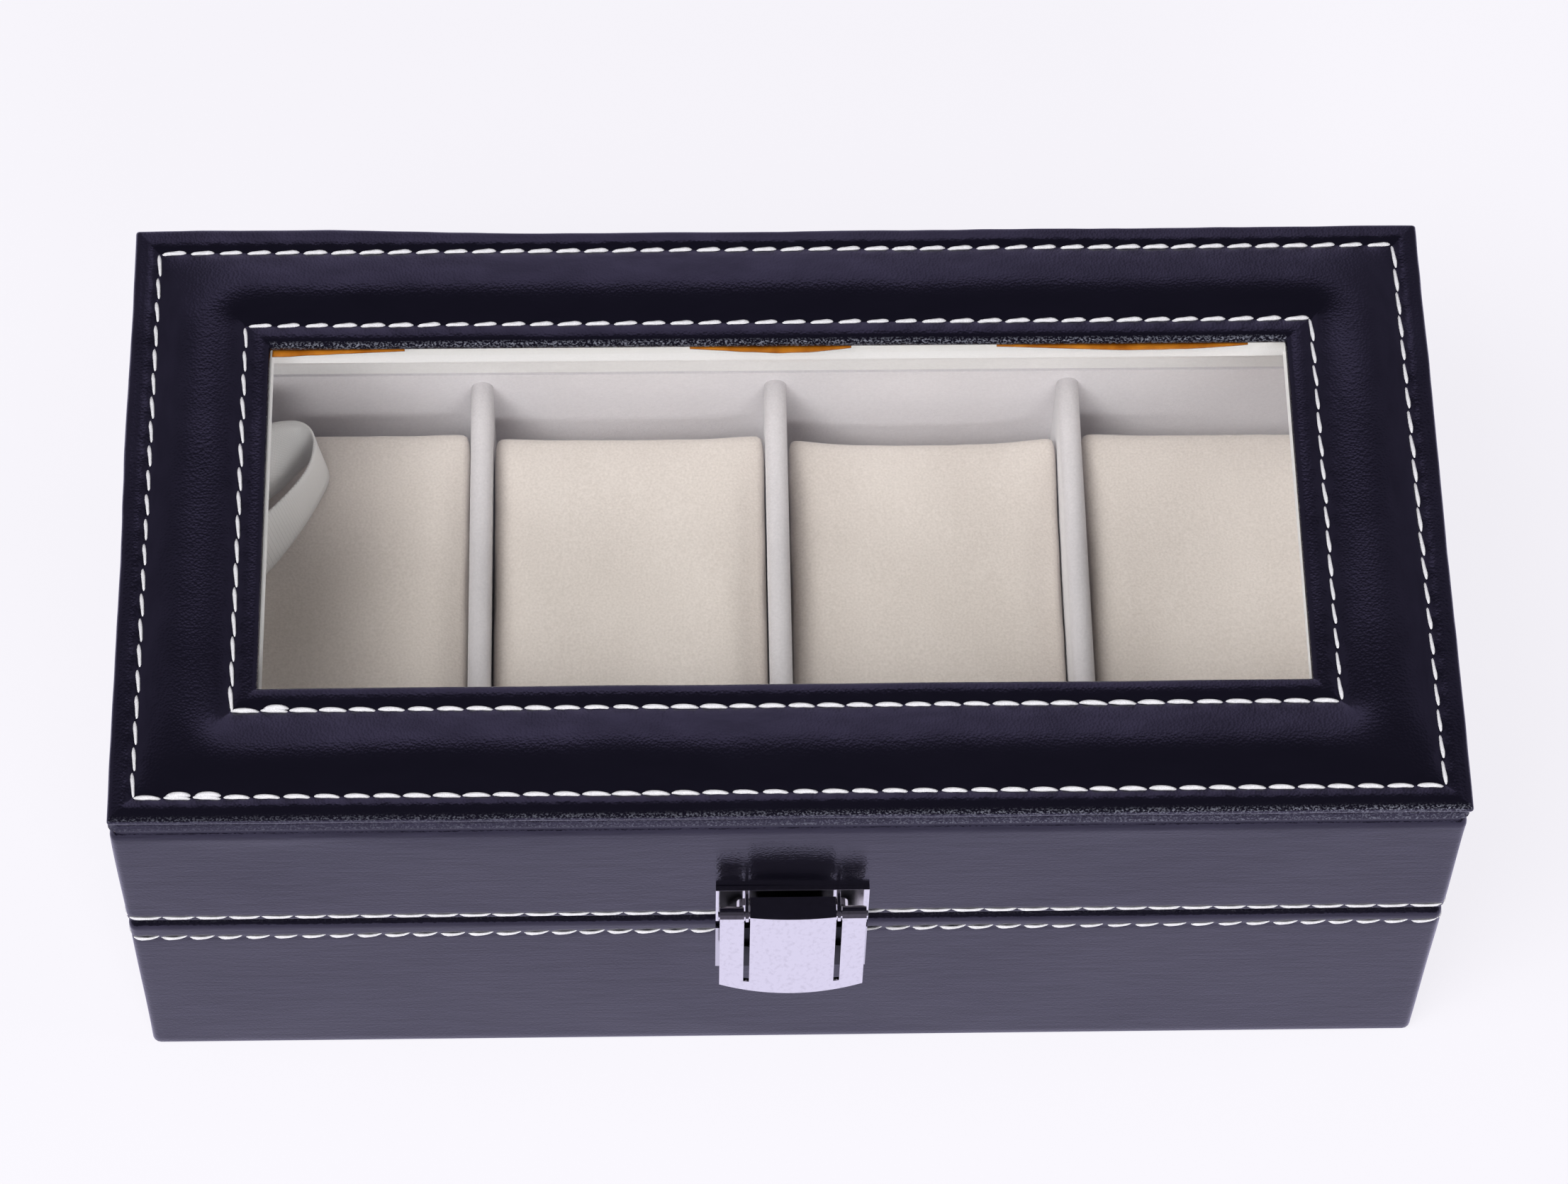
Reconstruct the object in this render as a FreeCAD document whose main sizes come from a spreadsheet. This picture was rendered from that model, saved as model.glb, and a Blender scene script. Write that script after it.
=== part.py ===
"""Watch box for four watches: a leather-covered board box with a glazed, padded lid.

The box is modelled closed, standing on its felt, in millimetres.
X runs along the box, Y from the front (clasp) to the rear (hinges), Z up.
"""
import FreeCAD, Part
import os
import re
import Sketcher
from FreeCAD import Placement, Rotation, Vector

doc = FreeCAD.newDocument("watch_box")

# Driving sizes

SIZES = {
    # box
    "box_length": 200.0,
    "box_depth": 103.5,
    "base_height": 42.2,
    "rim_gap": 0.7,
    "lid_height": 31.3,
    "leather": 0.8,
    "wall_board": 3.5,
    "bottom_board": 3.0,
    "lining": 1.2,
    "felt_sheet": 0.4,
    "felt_inset": 2.5,
    "base_turn_in": 12.0,
    "corner_round": 1.1,
    "foot_bevel": 0.5,
    # dividers and pillows
    "divider_thickness": 3.5,
    "divider_drop": 2.0,
    "end_room": 1.35,
    "pillow_drop": 6.4,
    "pillow_side_gap": 0.775,
    "pillow_front_gap": 4.9,
    "pillow_back_gap": 5.6,
    "pillow_round": 3.0,
    "pillow_drawn_in": 1.0,
    "pillow_clearance": 0.2,
    "pillow_cover": 1.0,
    # lid
    "top_board": 4.6,
    "lid_edge_round": 1.0,
    "lid_turn_in": 12.0,
    "ceiling_lining": 0.8,
    "lining_paper": 0.5,
    "glass_sheet": 2.0,
    "glass_lap": 6.0,
    "glass_clearance": 0.3,
    "window_end_reveal": 0.3,
    "window_long_reveal": 2.0,
    "panel_overhang": 0.2,
    "panel_leather": 0.6,
    "panel_card": 0.5,
    "panel_crown": 0.9,
    "panel_turn_under": 6.0,
    "frame_width": 21.9,
    "outer_seam": 3.95,
    "inner_seam": 18.0,
    # hinges
    "hinge_spread": 120.0,
    "leaf_width": 16.0,
    "leaf_height": 9.5,
    "leaf_sheet": 0.8,
    "leaf_round": 1.5,
    "knuckle_radius": 1.6,
    "knuckle_width": 5.0,
    "knuckle_gap": 0.15,
    "hinge_standoff": 0.1,
    "hinge_pin_radius": 0.7,
    "pin_clearance": 0.05,
    # screws
    "screw_radius": 0.8,
    "screw_length": 4.2,
    "screw_head_radius": 1.4,
    "screw_head": 0.6,
    "screw_clearance": 0.05,
    "leaf_screw_spread": 9.0,
    "leaf_screw_edge": 3.2,
    "clasp_screw_spread": 14.0,
    # clasp
    "clasp_shift": 0.6,
    "bracket_width": 23.1,
    "bracket_height": 10.0,
    "bracket_lift": 0.3,
    "bracket_sheet": 0.9,
    "lug_sheet": 0.5,
    "lug_radius": 1.1,
    "clasp_pin_reach": 4.1,
    "clasp_pin_drop": 1.7,
    "clasp_pin_radius": 0.6,
    "clasp_pin_proud": 0.25,
    "ear_radius": 1.26,
    "flap_width": 22.0,
    "flap_height": 25.0,
    "flap_sheet": 0.6,
    "flap_reach": 5.85,
    "flap_bow_radius": 60.0,
    "flap_arch": 1.2,
    "tongue_width": 12.9,
    "slit_width": 0.9,
    "slit_foot": 3.4,
    "lip_gap": 2.0,
    "bead_width": 9.0,
    "bead_radius": 0.6,
    "bead_lift": 2.6,
    "catch_height": 13.0,
    "catch_drop": 1.6,
    "catch_sheet": 0.8,
    "nose_width": 9.0,
    "nose_reach": 4.0,
    "nose_drop": 7.4,
    "nose_slope": 3.4,
    "nose_tip": 1.0,
    # ribbon
    "ribbon_width": 10.0,
    "ribbon_sheet": 0.4,
    "ribbon_bulge": 22.0,
    "ribbon_span": 39.0,
    "ribbon_middle": 18.5,
    "ribbon_drop": 6.0,
    "ribbon_clearance": 0.1,
}

sheet = doc.addObject("Spreadsheet::Sheet", "Sizes")
for row, (name, size) in enumerate(SIZES.items(), start=1):
    sheet.set(f"A{row}", name)
    sheet.set(f"B{row}", str(size))
    sheet.setAlias(f"B{row}", name)
doc.recompute()

# Tools for expressions: a place is an expression with a name

places = {}


def spell(text):
    """Write an expression out in full, so that it reads the sheet."""
    def word(match):
        name = match.group(0)
        if name in places:
            return places[name]
        return f"Sizes.{name}" if name in SIZES else name
    return re.sub(r"[a-z_]+", word, str(text))


def place(name, text):
    places[name] = f"({spell(text)})"


def bind(item, prop, text):
    item.setExpression(prop, spell(text))


def number(text):
    return float(sheet.evalExpression(spell(text)))


def both(text):
    """The low and high place of something centred on zero."""
    return f"-({text})", text


def ordered(side, near, far):
    """A low and a high place, given the nearer one and the one further out on a side."""
    return (near, far) if side > 0 else (far, near)


# Half sizes, from the outside inwards: leather, board, card lining, clear inside
place("half_length", "box_length / 2")
place("half_depth", "box_depth / 2")
place("board_x", "half_length - leather")
place("board_y", "half_depth - leather")
place("liner_x", "board_x - wall_board")
place("liner_y", "board_y - wall_board")
place("inside_x", "liner_x - lining")
place("inside_y", "liner_y - lining")

# Heights, from the table upwards
place("board_low", "felt_sheet + leather")
place("board_high", "base_height - leather")
place("floor_low", "board_low + bottom_board")
place("floor_high", "floor_low + lining")
place("divider_high", "base_height - divider_drop")
place("pillow_low", "floor_high + pillow_clearance")
place("seam_z", "base_height + rim_gap / 2")
place("lid_low", "base_height + rim_gap")
place("rail_low", "lid_low + leather")
place("lid_high", "lid_low + lid_height")
place("top_high", "lid_high - leather")
place("top_low", "top_high - top_board")
place("ceiling", "top_low - ceiling_lining")
place("glass_low", "lid_high - glass_sheet")

# Compartments: the two at the ends are wider by the end room; a pillow fits in each
place("compartment", "(2 * inside_x - 3 * divider_thickness - 2 * end_room) / 4")
place("divider_pitch", "compartment + divider_thickness")
place("pillow_width", "compartment - 2 * pillow_side_gap")
place("pillow_depth", "2 * inside_y - pillow_front_gap - pillow_back_gap")
place("pillow_height", "base_height - pillow_drop - pillow_low")

# The padded panel, the window in it and the glass under it
place("panel_x", "half_length + panel_overhang")
place("panel_y", "half_depth + panel_overhang")
place("panel_edge", "2 * panel_leather + panel_card")
place("panel_roll", "panel_edge / 2")
place("window_x", "panel_x - frame_width")
place("window_y", "panel_y - frame_width")
place("reveal_x", "window_x + window_end_reveal")
place("reveal_y", "window_y + window_long_reveal")
place("glass_x", "reveal_x + lining_paper + glass_lap")
place("glass_y", "reveal_y + lining_paper + glass_lap")

# Hinge axis, clasp pin and the faces that the screw heads sit on
place("hinge_y", "half_depth + knuckle_radius + hinge_standoff")
place("leaf_face", "half_depth + leaf_sheet")
place("leaf_screw_z", "leaf_height - leaf_screw_edge")
place("bracket_low", "lid_low + bracket_lift")
place("bracket_high", "bracket_low + bracket_height")
place("bracket_face", "-half_depth - bracket_sheet")
place("bracket_screw_z", "(bracket_low + bracket_high) / 2")
place("clasp_pin_y", "-half_depth - clasp_pin_reach")
place("clasp_pin_z", "bracket_high - clasp_pin_drop")
place("catch_high", "base_height - catch_drop")
place("catch_face", "-half_depth - catch_sheet")
place("catch_screw_z", "catch_high - catch_height / 2")

# Tools for making the pieces

ALONG = {
    "x": Rotation(Vector(0, 1, 0), 90),
    "y": Rotation(Vector(1, 0, 0), -90),
    "z": Rotation(),
}
nodes = []


def node(item, label):
    """Keep a finished piece under its own name."""
    item.Label = label
    nodes.append(item)
    return item


def add(kind, body=None):
    """A new object, in the document or in a body."""
    name = kind.split("::")[1]
    return body.newObject(kind, name) if body else doc.addObject(kind, name)


def block(x, y, z, body=None, kind="Part::Box"):
    """A box given by its low and high place on each axis."""
    box = add(kind, body)
    for prop, axis, (low, high) in zip(("Length", "Width", "Height"), "xyz", (x, y, z)):
        bind(box, f".Placement.Base.{axis}", low)
        bind(box, prop, f"({high}) - ({low})")
    return box


def lay(item, along, span, across):
    """Lay a cylinder or prism along one axis, at its places on the other two axes."""
    low, high = span
    item.Placement = Placement(Vector(), ALONG[along])
    bind(item, "Height", f"({high}) - ({low})")
    bind(item, f".Placement.Base.{along}", low)
    for axis, text in zip([axis for axis in "xyz" if axis != along], across):
        bind(item, f".Placement.Base.{axis}", text)
    return item


def rod(radius, along, span, across, body=None, kind="Part::Cylinder"):
    cylinder = add(kind, body)
    bind(cylinder, "Radius", radius)
    return lay(cylinder, along, span, across)


def joined(items):
    group = add("Part::MultiFuse")
    group.Shapes = items
    return group


def cut(base, tools):
    """The base less one tool or several."""
    result = add("Part::Cut")
    result.Base = base
    result.Tool = tools[0] if len(tools) == 1 else joined(tools)
    return result


def new_body(x="0", y="0", z="0"):
    body = doc.addObject("PartDesign::Body", "Body")
    for axis, text in zip("xyz", (x, y, z)):
        bind(body, f".Placement.Base.{axis}", text)
    return body


def new_sketch(body, role, offset="0"):
    """A sketch on one of the body's own planes, moved along its normal."""
    sketch = body.newObject("Sketcher::SketchObject", "Sketch")
    plane = next(item for item in body.Origin.OriginFeatures if item.Role == role)
    sketch.AttachmentSupport = [(plane, "")]
    sketch.MapMode = "FlatFace"
    bind(sketch, "AttachmentOffset.Base.z", offset)
    return sketch


def fix_point(sketch, edge, end, point):
    """Tie a point of the sketch to the expressions of its place."""
    for kind, text in zip(("DistanceX", "DistanceY"), point):
        if text is not None:
            index = sketch.addConstraint(Sketcher.Constraint(kind, -1, 1, edge, end, number(text)))
            bind(sketch, f"Constraints[{index}]", text)


def add_arc(sketch, start, end, turn, centre):
    """An arc between two points whose centre has one given coordinate."""
    middle = (start + end) / 2
    across = Vector(start.y - end.y, end.x - start.x, 0)
    if centre[0] is not None:
        share = (number(centre[0]) - middle.x) / across.x
    else:
        share = (number(centre[1]) - middle.y) / across.y
    hub = middle + across * share
    circle = Part.Circle(hub, Vector(0, 0, 1), (start - hub).Length)
    low, high = (start, end) if turn == "left" else (end, start)
    edge = sketch.addGeometry(Part.ArcOfCircle(circle, circle.parameter(low), circle.parameter(high)), False)
    return (edge, 1, 2) if turn == "left" else (edge, 2, 1)


def outline(sketch, corners, bends=None):
    """Draw a closed outline of lines and arcs whose corners are expressions.

    bends maps a corner's index to the arc that leaves it: the way it turns, and the place
    of its centre, where None stands for the coordinate that follows by itself.
    """
    bends = bends or {}
    points = [Vector(number(x), number(y), 0) for x, y in corners]
    edges = []
    for index, start in enumerate(points):
        end = points[(index + 1) % len(points)]
        if index in bends:
            edges.append(add_arc(sketch, start, end, *bends[index]))
        else:
            edges.append((sketch.addGeometry(Part.LineSegment(start, end), False), 1, 2))
    for index, (edge, first, last) in enumerate(edges):
        following, following_first, _ = edges[(index + 1) % len(edges)]
        sketch.addConstraint(Sketcher.Constraint("Coincident", edge, last, following, following_first))
        fix_point(sketch, edge, first, corners[index])
    for index, (turn, centre) in bends.items():
        fix_point(sketch, edges[index][0], 3, centre)
    return sketch


def pad(body, sketch, length, both_ways=False):
    feature = body.newObject("PartDesign::Pad", "Pad")
    feature.Profile = sketch
    feature.Midplane = both_ways
    bind(feature, "Length", length)


def pocket_through(body, sketch):
    """Cut the sketch's shape through the body, both ways, and see that it took something off."""
    doc.recompute()
    before = body.Shape.Volume
    feature = body.newObject("PartDesign::Pocket", "Pocket")
    feature.Profile = sketch
    feature.Type = "ThroughAll"
    feature.Midplane = True
    doc.recompute()
    if body.Shape.Volume >= before:
        raise RuntimeError("a pocket cut nothing")


def finish_edges(body, kind, prop, size, wanted):
    """Dress the edges of the body's last feature whose bounding boxes pass a test."""
    doc.recompute()
    last = body.Tip
    names = [f"Edge{i}" for i, edge in enumerate(last.Shape.Edges, start=1) if wanted(edge.BoundBox)]
    feature = add(kind, body)
    feature.Base = (last, names)
    bind(feature, prop, size)
    doc.recompute()


def round_edges(body, radius, wanted):
    finish_edges(body, "PartDesign::Fillet", "Radius", radius, wanted)


def bevel_edges(body, size, wanted):
    finish_edges(body, "PartDesign::Chamfer", "Size", size, wanted)


def upright(box):
    return box.ZLength > 0.9 * box.DiagonalLength


def along_y(box):
    return box.YLength > 0.9 * box.DiagonalLength


def at_height(text):
    level = number(text)
    return lambda box: abs(box.ZMin - level) < 0.001 and abs(box.ZMax - level) < 0.001


# Screws: a shank that goes in from its seat and a flat round head outside it

SHANK_FLATS = 12


def shank(span, spot):
    prism = add("Part::Prism")
    prism.Polygon = SHANK_FLATS
    bind(prism, "Circumradius", "screw_radius")
    return lay(prism, "y", span, spot)


def screws(label, spots, side, seat):
    """A group of screws through the front (side -1) or rear (side 1) wall."""
    group = add("Part::Compound")
    group.Links = [
        joined([
            shank(ordered(side, f"{seat} - ({side}) * screw_length", seat), spot),
            rod("screw_head_radius", "y", ordered(side, seat, f"{seat} + ({side}) * screw_head"), spot),
        ])
        for spot in spots
    ]
    node(group, label)


def screw_holes(spots, side, seat):
    """The holes that the shanks need in the wall and its leather."""
    depth = f"{seat} - ({side}) * (screw_length + screw_clearance)"
    return [rod("screw_radius + screw_clearance", "y", ordered(side, depth, seat), spot) for spot in spots]


hinge_places = {"left": "(-hinge_spread / 2)", "right": "(hinge_spread / 2)"}
leaf_screw_x = [f"({x} + {side} * leaf_screw_spread / 2)" for x in hinge_places.values() for side in (-1, 1)]
clasp_screw_x = [f"(clasp_shift + {side} * clasp_screw_spread / 2)" for side in (-1, 1)]
lid_leaf_spots = [(x, "seam_z + leaf_screw_z") for x in leaf_screw_x]
base_leaf_spots = [(x, "seam_z - leaf_screw_z") for x in leaf_screw_x]
bracket_spots = [(x, "bracket_screw_z") for x in clasp_screw_x]
catch_spots = [(x, "catch_screw_z") for x in clasp_screw_x]

screws("hinge_lid_screws", lid_leaf_spots, 1, "leaf_face")
screws("hinge_base_screws", base_leaf_spots, 1, "leaf_face")
screws("clasp_bracket_screws", bracket_spots, -1, "bracket_face")
screws("clasp_catch_screws", catch_spots, -1, "catch_face")


def long_wall(side, low, high, holes):
    """A front or rear wall of board, as long as the box inside its leather."""
    blank = block(both("board_x"), ordered(side, f"{side} * liner_y", f"{side} * board_y"), (low, high))
    return cut(blank, holes)


def end_wall(side, low, high):
    """A left or right wall of board, between the long walls."""
    return block(ordered(side, f"{side} * liner_x", f"{side} * board_x"), both("liner_y"), (low, high))


def wall_linings(name, low, high):
    """Four strips of velvet-covered card that line the walls."""
    for label, side in (("front", -1), ("rear", 1)):
        faces = ordered(side, f"{side} * inside_y", f"{side} * liner_y")
        node(block(both("liner_x"), faces, (low, high)), f"{name}_{label}_lining")
    for label, side in (("left", -1), ("right", 1)):
        faces = ordered(side, f"{side} * inside_x", f"{side} * liner_x")
        node(block(faces, both("inside_y"), (low, high)), f"{name}_{label}_lining")


# Base: walls and bottom of board

catch_holes = screw_holes(catch_spots, -1, "catch_face")
base_leaf_holes = screw_holes(base_leaf_spots, 1, "leaf_face")
node(long_wall(-1, "board_low", "board_high", catch_holes), "base_front_wall")
node(long_wall(1, "board_low", "board_high", base_leaf_holes), "base_rear_wall")
node(end_wall(-1, "board_low", "board_high"), "base_left_wall")
node(end_wall(1, "board_low", "board_high"), "base_right_wall")
node(block(both("liner_x"), both("liner_y"), ("board_low", "floor_low")), "base_bottom_board")

# Leather round the base: over the rim at the top, turned in under the bottom

base_form = new_body()
base_rise = ("felt_sheet", "base_height")
block(both("half_length"), both("half_depth"), base_rise, base_form, "PartDesign::AdditiveBox")
round_edges(base_form, "corner_round", upright)
bevel_edges(base_form, "foot_bevel", at_height("felt_sheet"))
turn_x = both("half_length - base_turn_in")
turn_y = both("half_depth - base_turn_in")
base_hollow = [
    block(both("board_x"), both("board_y"), ("board_low", "board_high")),
    block(both("liner_x"), both("liner_y"), ("board_low", "base_height + leather")),
    block(turn_x, turn_y, ("0", "board_low + leather")),
]
node(cut(base_form, base_hollow + catch_holes + base_leaf_holes), "base_leather")

# Felt under the base: its middle fills the space inside the turned-in leather

felt_under = block(both("half_length - felt_inset"), both("half_depth - felt_inset"), ("0", "felt_sheet"))
felt_middle = block(turn_x, turn_y, ("0", "board_low"))
node(joined([felt_under, felt_middle]), "base_felt")

# Lining of the base

node(block(both("liner_x"), both("liner_y"), ("floor_low", "floor_high")), "base_floor_lining")
wall_linings("base", "floor_high", "base_height")

# Dividers: velvet over card with a rounded top, from the front lining to the rear lining

place("divider_half", "divider_thickness / 2")
place("divider_shoulder", "divider_high - floor_high - divider_half")
for index in (1, 2, 3):
    divider = new_body(x=f"({index} - 2) * divider_pitch", z="floor_high")
    divider_profile = outline(
        new_sketch(divider, "XZ_Plane"),
        [
            ("-divider_half", "0"),
            ("divider_half", "0"),
            ("divider_half", "divider_shoulder"),
            ("-divider_half", "divider_shoulder"),
        ],
        {2: ("left", (None, "divider_shoulder"))},
    )
    pad(divider, divider_profile, "2 * inside_y", both_ways=True)
    node(divider, f"divider_{index}")


# Pillows: a suede cover, crowned along the compartment with drawn-in ends, on a foam core

def pillow_section(body, offset, inset, rounded=True):
    """A section across the pillow, drawn in all round by an inset, with rounded or cut corners."""
    place("section_y", f"pillow_depth / 2 - ({inset})")
    place("section_low", inset)
    place("section_high", f"pillow_height - ({inset})")
    place("section_flat", "section_y - pillow_round")
    corners = [
        ("-section_flat", "section_low"),
        ("section_flat", "section_low"),
        ("section_y", "section_low + pillow_round"),
        ("section_y", "section_high - pillow_round"),
        ("section_flat", "section_high"),
        ("-section_flat", "section_high"),
        ("-section_y", "section_high - pillow_round"),
        ("-section_y", "section_low + pillow_round"),
    ]
    right = ("left", ("section_flat", None))
    left = ("left", ("-section_flat", None))
    bends = {1: right, 3: right, 5: left, 7: left} if rounded else {}
    return outline(new_sketch(body, "YZ_Plane", offset), corners, bends)


def pillow_body(index):
    return new_body(
        x=f"({index} - 2.5) * divider_pitch",
        y="inside_y - pillow_back_gap - pillow_depth / 2",
        z="pillow_low",
    )


# Where the sections stand, as shares of the half width; the inset grows with the share's square
PILLOW_SHARES = (-1.0, -0.5, 0.0, 0.5, 1.0)
for index in (1, 2, 3, 4):
    crowned = pillow_body(index)
    sections = [
        pillow_section(crowned, f"{share} * pillow_width / 2", f"{share ** 2} * pillow_drawn_in")
        for share in PILLOW_SHARES
    ]
    loft = crowned.newObject("PartDesign::AdditiveLoft", "Loft")
    loft.Profile = sections[0]
    loft.Sections = sections[1:]
    loft.Ruled = True
    core = pillow_body(index)
    core_section = pillow_section(core, "0", "pillow_drawn_in + pillow_cover", rounded=False)
    pad(core, core_section, "pillow_width - 2 * pillow_cover", both_ways=True)
    node(cut(crowned, [core]), f"pillow_{index}_cover")
    node(core, f"pillow_{index}_core")

# Lid: rails and a top of board with the window and a seat for the glass

bracket_holes = screw_holes(bracket_spots, -1, "bracket_face")
lid_leaf_holes = screw_holes(lid_leaf_spots, 1, "leaf_face")
node(long_wall(-1, "rail_low", "top_low", bracket_holes), "lid_front_rail")
node(long_wall(1, "rail_low", "top_low", lid_leaf_holes), "lid_rear_rail")
node(end_wall(-1, "rail_low", "top_low"), "lid_left_rail")
node(end_wall(1, "rail_low", "top_low"), "lid_right_rail")

top_form = new_body()
block(both("board_x"), both("board_y"), ("top_low", "top_high"), top_form, "PartDesign::AdditiveBox")
round_edges(top_form, "lid_edge_round - leather", at_height("top_high"))
through_top = ("top_low - leather", "top_high + leather")
top_window = block(both("reveal_x + lining_paper"), both("reveal_y + lining_paper"), through_top)
glass_rise = ("glass_low", "lid_high")
glass_seat = block(both("glass_x + glass_clearance"), both("glass_y + glass_clearance"), glass_rise)
node(cut(top_form, [top_window, glass_seat]), "lid_top_board")
node(block(both("glass_x"), both("glass_y"), glass_rise), "window_glass")

# Leather round the lid: over the rim below, rounded over the top edge and turned in under the panel

lid_form = new_body()
lid_rise = ("lid_low", "lid_high")
block(both("half_length"), both("half_depth"), lid_rise, lid_form, "PartDesign::AdditiveBox")
round_edges(lid_form, "corner_round", upright)
round_edges(lid_form, "lid_edge_round", at_height("lid_high"))
lid_turn_x = both("half_length - lid_turn_in")
lid_turn_y = both("half_depth - lid_turn_in")
lid_hollow = [
    block(both("board_x"), both("board_y"), ("rail_low", "top_low")),
    block(both("liner_x"), both("liner_y"), ("lid_low - leather", "top_low")),
    block(lid_turn_x, lid_turn_y, ("top_low", "lid_high + leather")),
    top_form,
]
node(cut(lid_form, lid_hollow + bracket_holes + lid_leaf_holes), "lid_leather")

# Lining of the lid: card on the walls, and paper-backed velvet on the ceiling and up round the window

wall_linings("lid", "lid_low", "ceiling")
ceiling_sheet = block(both("liner_x"), both("liner_y"), ("ceiling", "top_low"))
window_rise = ("ceiling", "glass_low")
window_lining = block(both("reveal_x + lining_paper"), both("reveal_y + lining_paper"), window_rise)
window_clear = block(both("reveal_x"), both("reveal_y"), ("ceiling - leather", "glass_low + leather"))
node(cut(joined([ceiling_sheet, window_lining]), [window_clear]), "lid_ceiling_lining")

# Padded panel on the lid: card and foam in a leather cover with rolled edges, sewn along two seams

place("crown_half", "(inner_seam - outer_seam) / 2")
place("crown_radius", "(crown_half ^ 2 + panel_crown ^ 2) / (2 * panel_crown)")
place("crown_hub", "panel_crown - crown_radius")
place("front_edge", "-panel_y")
place("front_roll", "front_edge + panel_roll")
place("window_roll", "front_edge + frame_width - panel_roll")
place("seam_out", "front_edge + outer_seam")
place("seam_in", "front_edge + inner_seam")


def swept_frame(corners, bends):
    """A section swept round the edge of the panel, with mitred corners."""
    body = new_body(z="lid_high")
    path = outline(
        new_sketch(body, "XY_Plane"),
        [
            ("0", "-panel_y"),
            ("panel_x", "-panel_y"),
            ("panel_x", "panel_y"),
            ("-panel_x", "panel_y"),
            ("-panel_x", "-panel_y"),
        ],
    )
    section = outline(new_sketch(body, "YZ_Plane"), corners, bends)
    doc.recompute()
    pipe = body.newObject("PartDesign::AdditivePipe", "Pipe")
    pipe.Profile = section
    pipe.Spine = (path, [f"Edge{i}" for i in range(1, len(path.Shape.Edges) + 1)])
    pipe.Transition = "Right corner"
    return body


panel_form = swept_frame(
    [
        ("front_roll", "0"),
        ("window_roll", "0"),
        ("window_roll", "panel_edge"),
        ("seam_in", "panel_edge"),
        ("seam_out", "panel_edge"),
        ("front_roll", "panel_edge"),
    ],
    {
        1: ("left", ("window_roll", None)),
        3: ("left", (None, "panel_edge + crown_hub")),
        5: ("left", ("front_roll", None)),
    },
)
place("foam_low", "panel_edge - panel_leather")
foam = swept_frame(
    [("seam_out", "foam_low"), ("seam_in", "foam_low")],
    {1: ("left", (None, "foam_low + crown_hub"))},
)
card_rise = ("lid_high + panel_leather", "lid_high + panel_leather + panel_card")
card_outside = block(both("panel_x - panel_roll"), both("panel_y - panel_roll"), card_rise)
card_window = block(both("window_x + panel_roll"), both("window_y + panel_roll"), card_rise)
card = cut(card_outside, [card_window])
under_rise = ("lid_high", "lid_high + panel_leather")
under_outside = block(both("panel_x - panel_turn_under"), both("panel_y - panel_turn_under"), under_rise)
under_window = block(both("window_x + panel_turn_under"), both("window_y + panel_turn_under"), under_rise)
node(card, "panel_card")
node(foam, "panel_foam")
node(cut(panel_form, [card, foam, cut(under_outside, [under_window])]), "panel_leather")


# Hinges: two butt hinges on the rear wall, with the base's knuckles outside the lid's knuckle

def hinge_leaf(label, x, side, knuckles):
    """A leaf that rises (side 1) or hangs (side -1) from the hinge axis."""
    leaf = new_body(x=x, y="hinge_y", z="seam_z")
    back = ("-knuckle_radius - hinge_standoff", "-knuckle_radius - hinge_standoff + leaf_sheet")
    near = f"{side} * (knuckle_radius + knuckle_gap)"
    far = f"{side} * leaf_height"
    block(both("leaf_width / 2"), back, ordered(side, near, far), leaf, "PartDesign::AdditiveBox")
    round_edges(leaf, "leaf_round", lambda box: along_y(box) and at_height(far)(box))
    for span in knuckles:
        block(span, back, ordered(side, "0", near), leaf, "PartDesign::AdditiveBox")
        rod("knuckle_radius", "x", span, ("0", "0"), leaf, "PartDesign::AdditiveCylinder")
    bore = "hinge_pin_radius + pin_clearance"
    rod(bore, "x", both("leaf_width / 2"), ("0", "0"), leaf, "PartDesign::SubtractiveCylinder")
    for way in (-1, 1):
        spot = (f"{way} * leaf_screw_spread / 2", f"{side} * leaf_screw_z")
        rod("screw_radius + screw_clearance", "y", back, spot, leaf, "PartDesign::SubtractiveCylinder")
    node(leaf, label)


place("leaf_half", "leaf_width / 2")
place("lid_knuckle", "leaf_half - knuckle_width - knuckle_gap")
outer_knuckles = [("-leaf_half", "-leaf_half + knuckle_width"), ("leaf_half - knuckle_width", "leaf_half")]
for label, x in hinge_places.items():
    hinge_leaf(f"hinge_{label}_base_leaf", x, -1, outer_knuckles)
    hinge_leaf(f"hinge_{label}_lid_leaf", x, 1, [both("lid_knuckle")])
    pin_span = (f"{x} - leaf_half", f"{x} + leaf_half")
    node(rod("hinge_pin_radius", "x", pin_span, ("hinge_y", "seam_z")), f"hinge_{label}_pin")

# Clasp bracket on the lid: a back plate with two lugs that carry the pin

place("tongue_half", "tongue_width / 2")
place("flap_half", "flap_width / 2")
place("lug_near", "tongue_half + (slit_width - lug_sheet) / 2")
place("plate_middle", "clasp_pin_reach - bracket_sheet / 2")
bracket = new_body(x="clasp_shift", y="clasp_pin_y", z="clasp_pin_z")
bracket_rise = ("clasp_pin_drop - bracket_height", "clasp_pin_drop")
plate = ("clasp_pin_reach - bracket_sheet", "clasp_pin_reach")
block(both("bracket_width / 2"), plate, bracket_rise, bracket, "PartDesign::AdditiveBox")
for low in ("lug_near", "-lug_near - lug_sheet"):
    lug = outline(
        new_sketch(bracket, "YZ_Plane", low),
        [
            ("0", "-lug_radius"),
            ("plate_middle", "-lug_radius"),
            ("plate_middle", "lug_radius"),
            ("0", "lug_radius"),
        ],
        {3: ("left", ("0", None))},
    )
    pad(bracket, lug, "lug_sheet")
clasp_bore = "clasp_pin_radius + pin_clearance"
rod(clasp_bore, "x", both("flap_half"), ("0", "0"), bracket, "PartDesign::SubtractiveCylinder")
for way in (-1, 1):
    spot = (f"{way} * clasp_screw_spread / 2", "bracket_screw_z - clasp_pin_z")
    rod("screw_radius + screw_clearance", "y", plate, spot, bracket, "PartDesign::SubtractiveCylinder")
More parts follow.
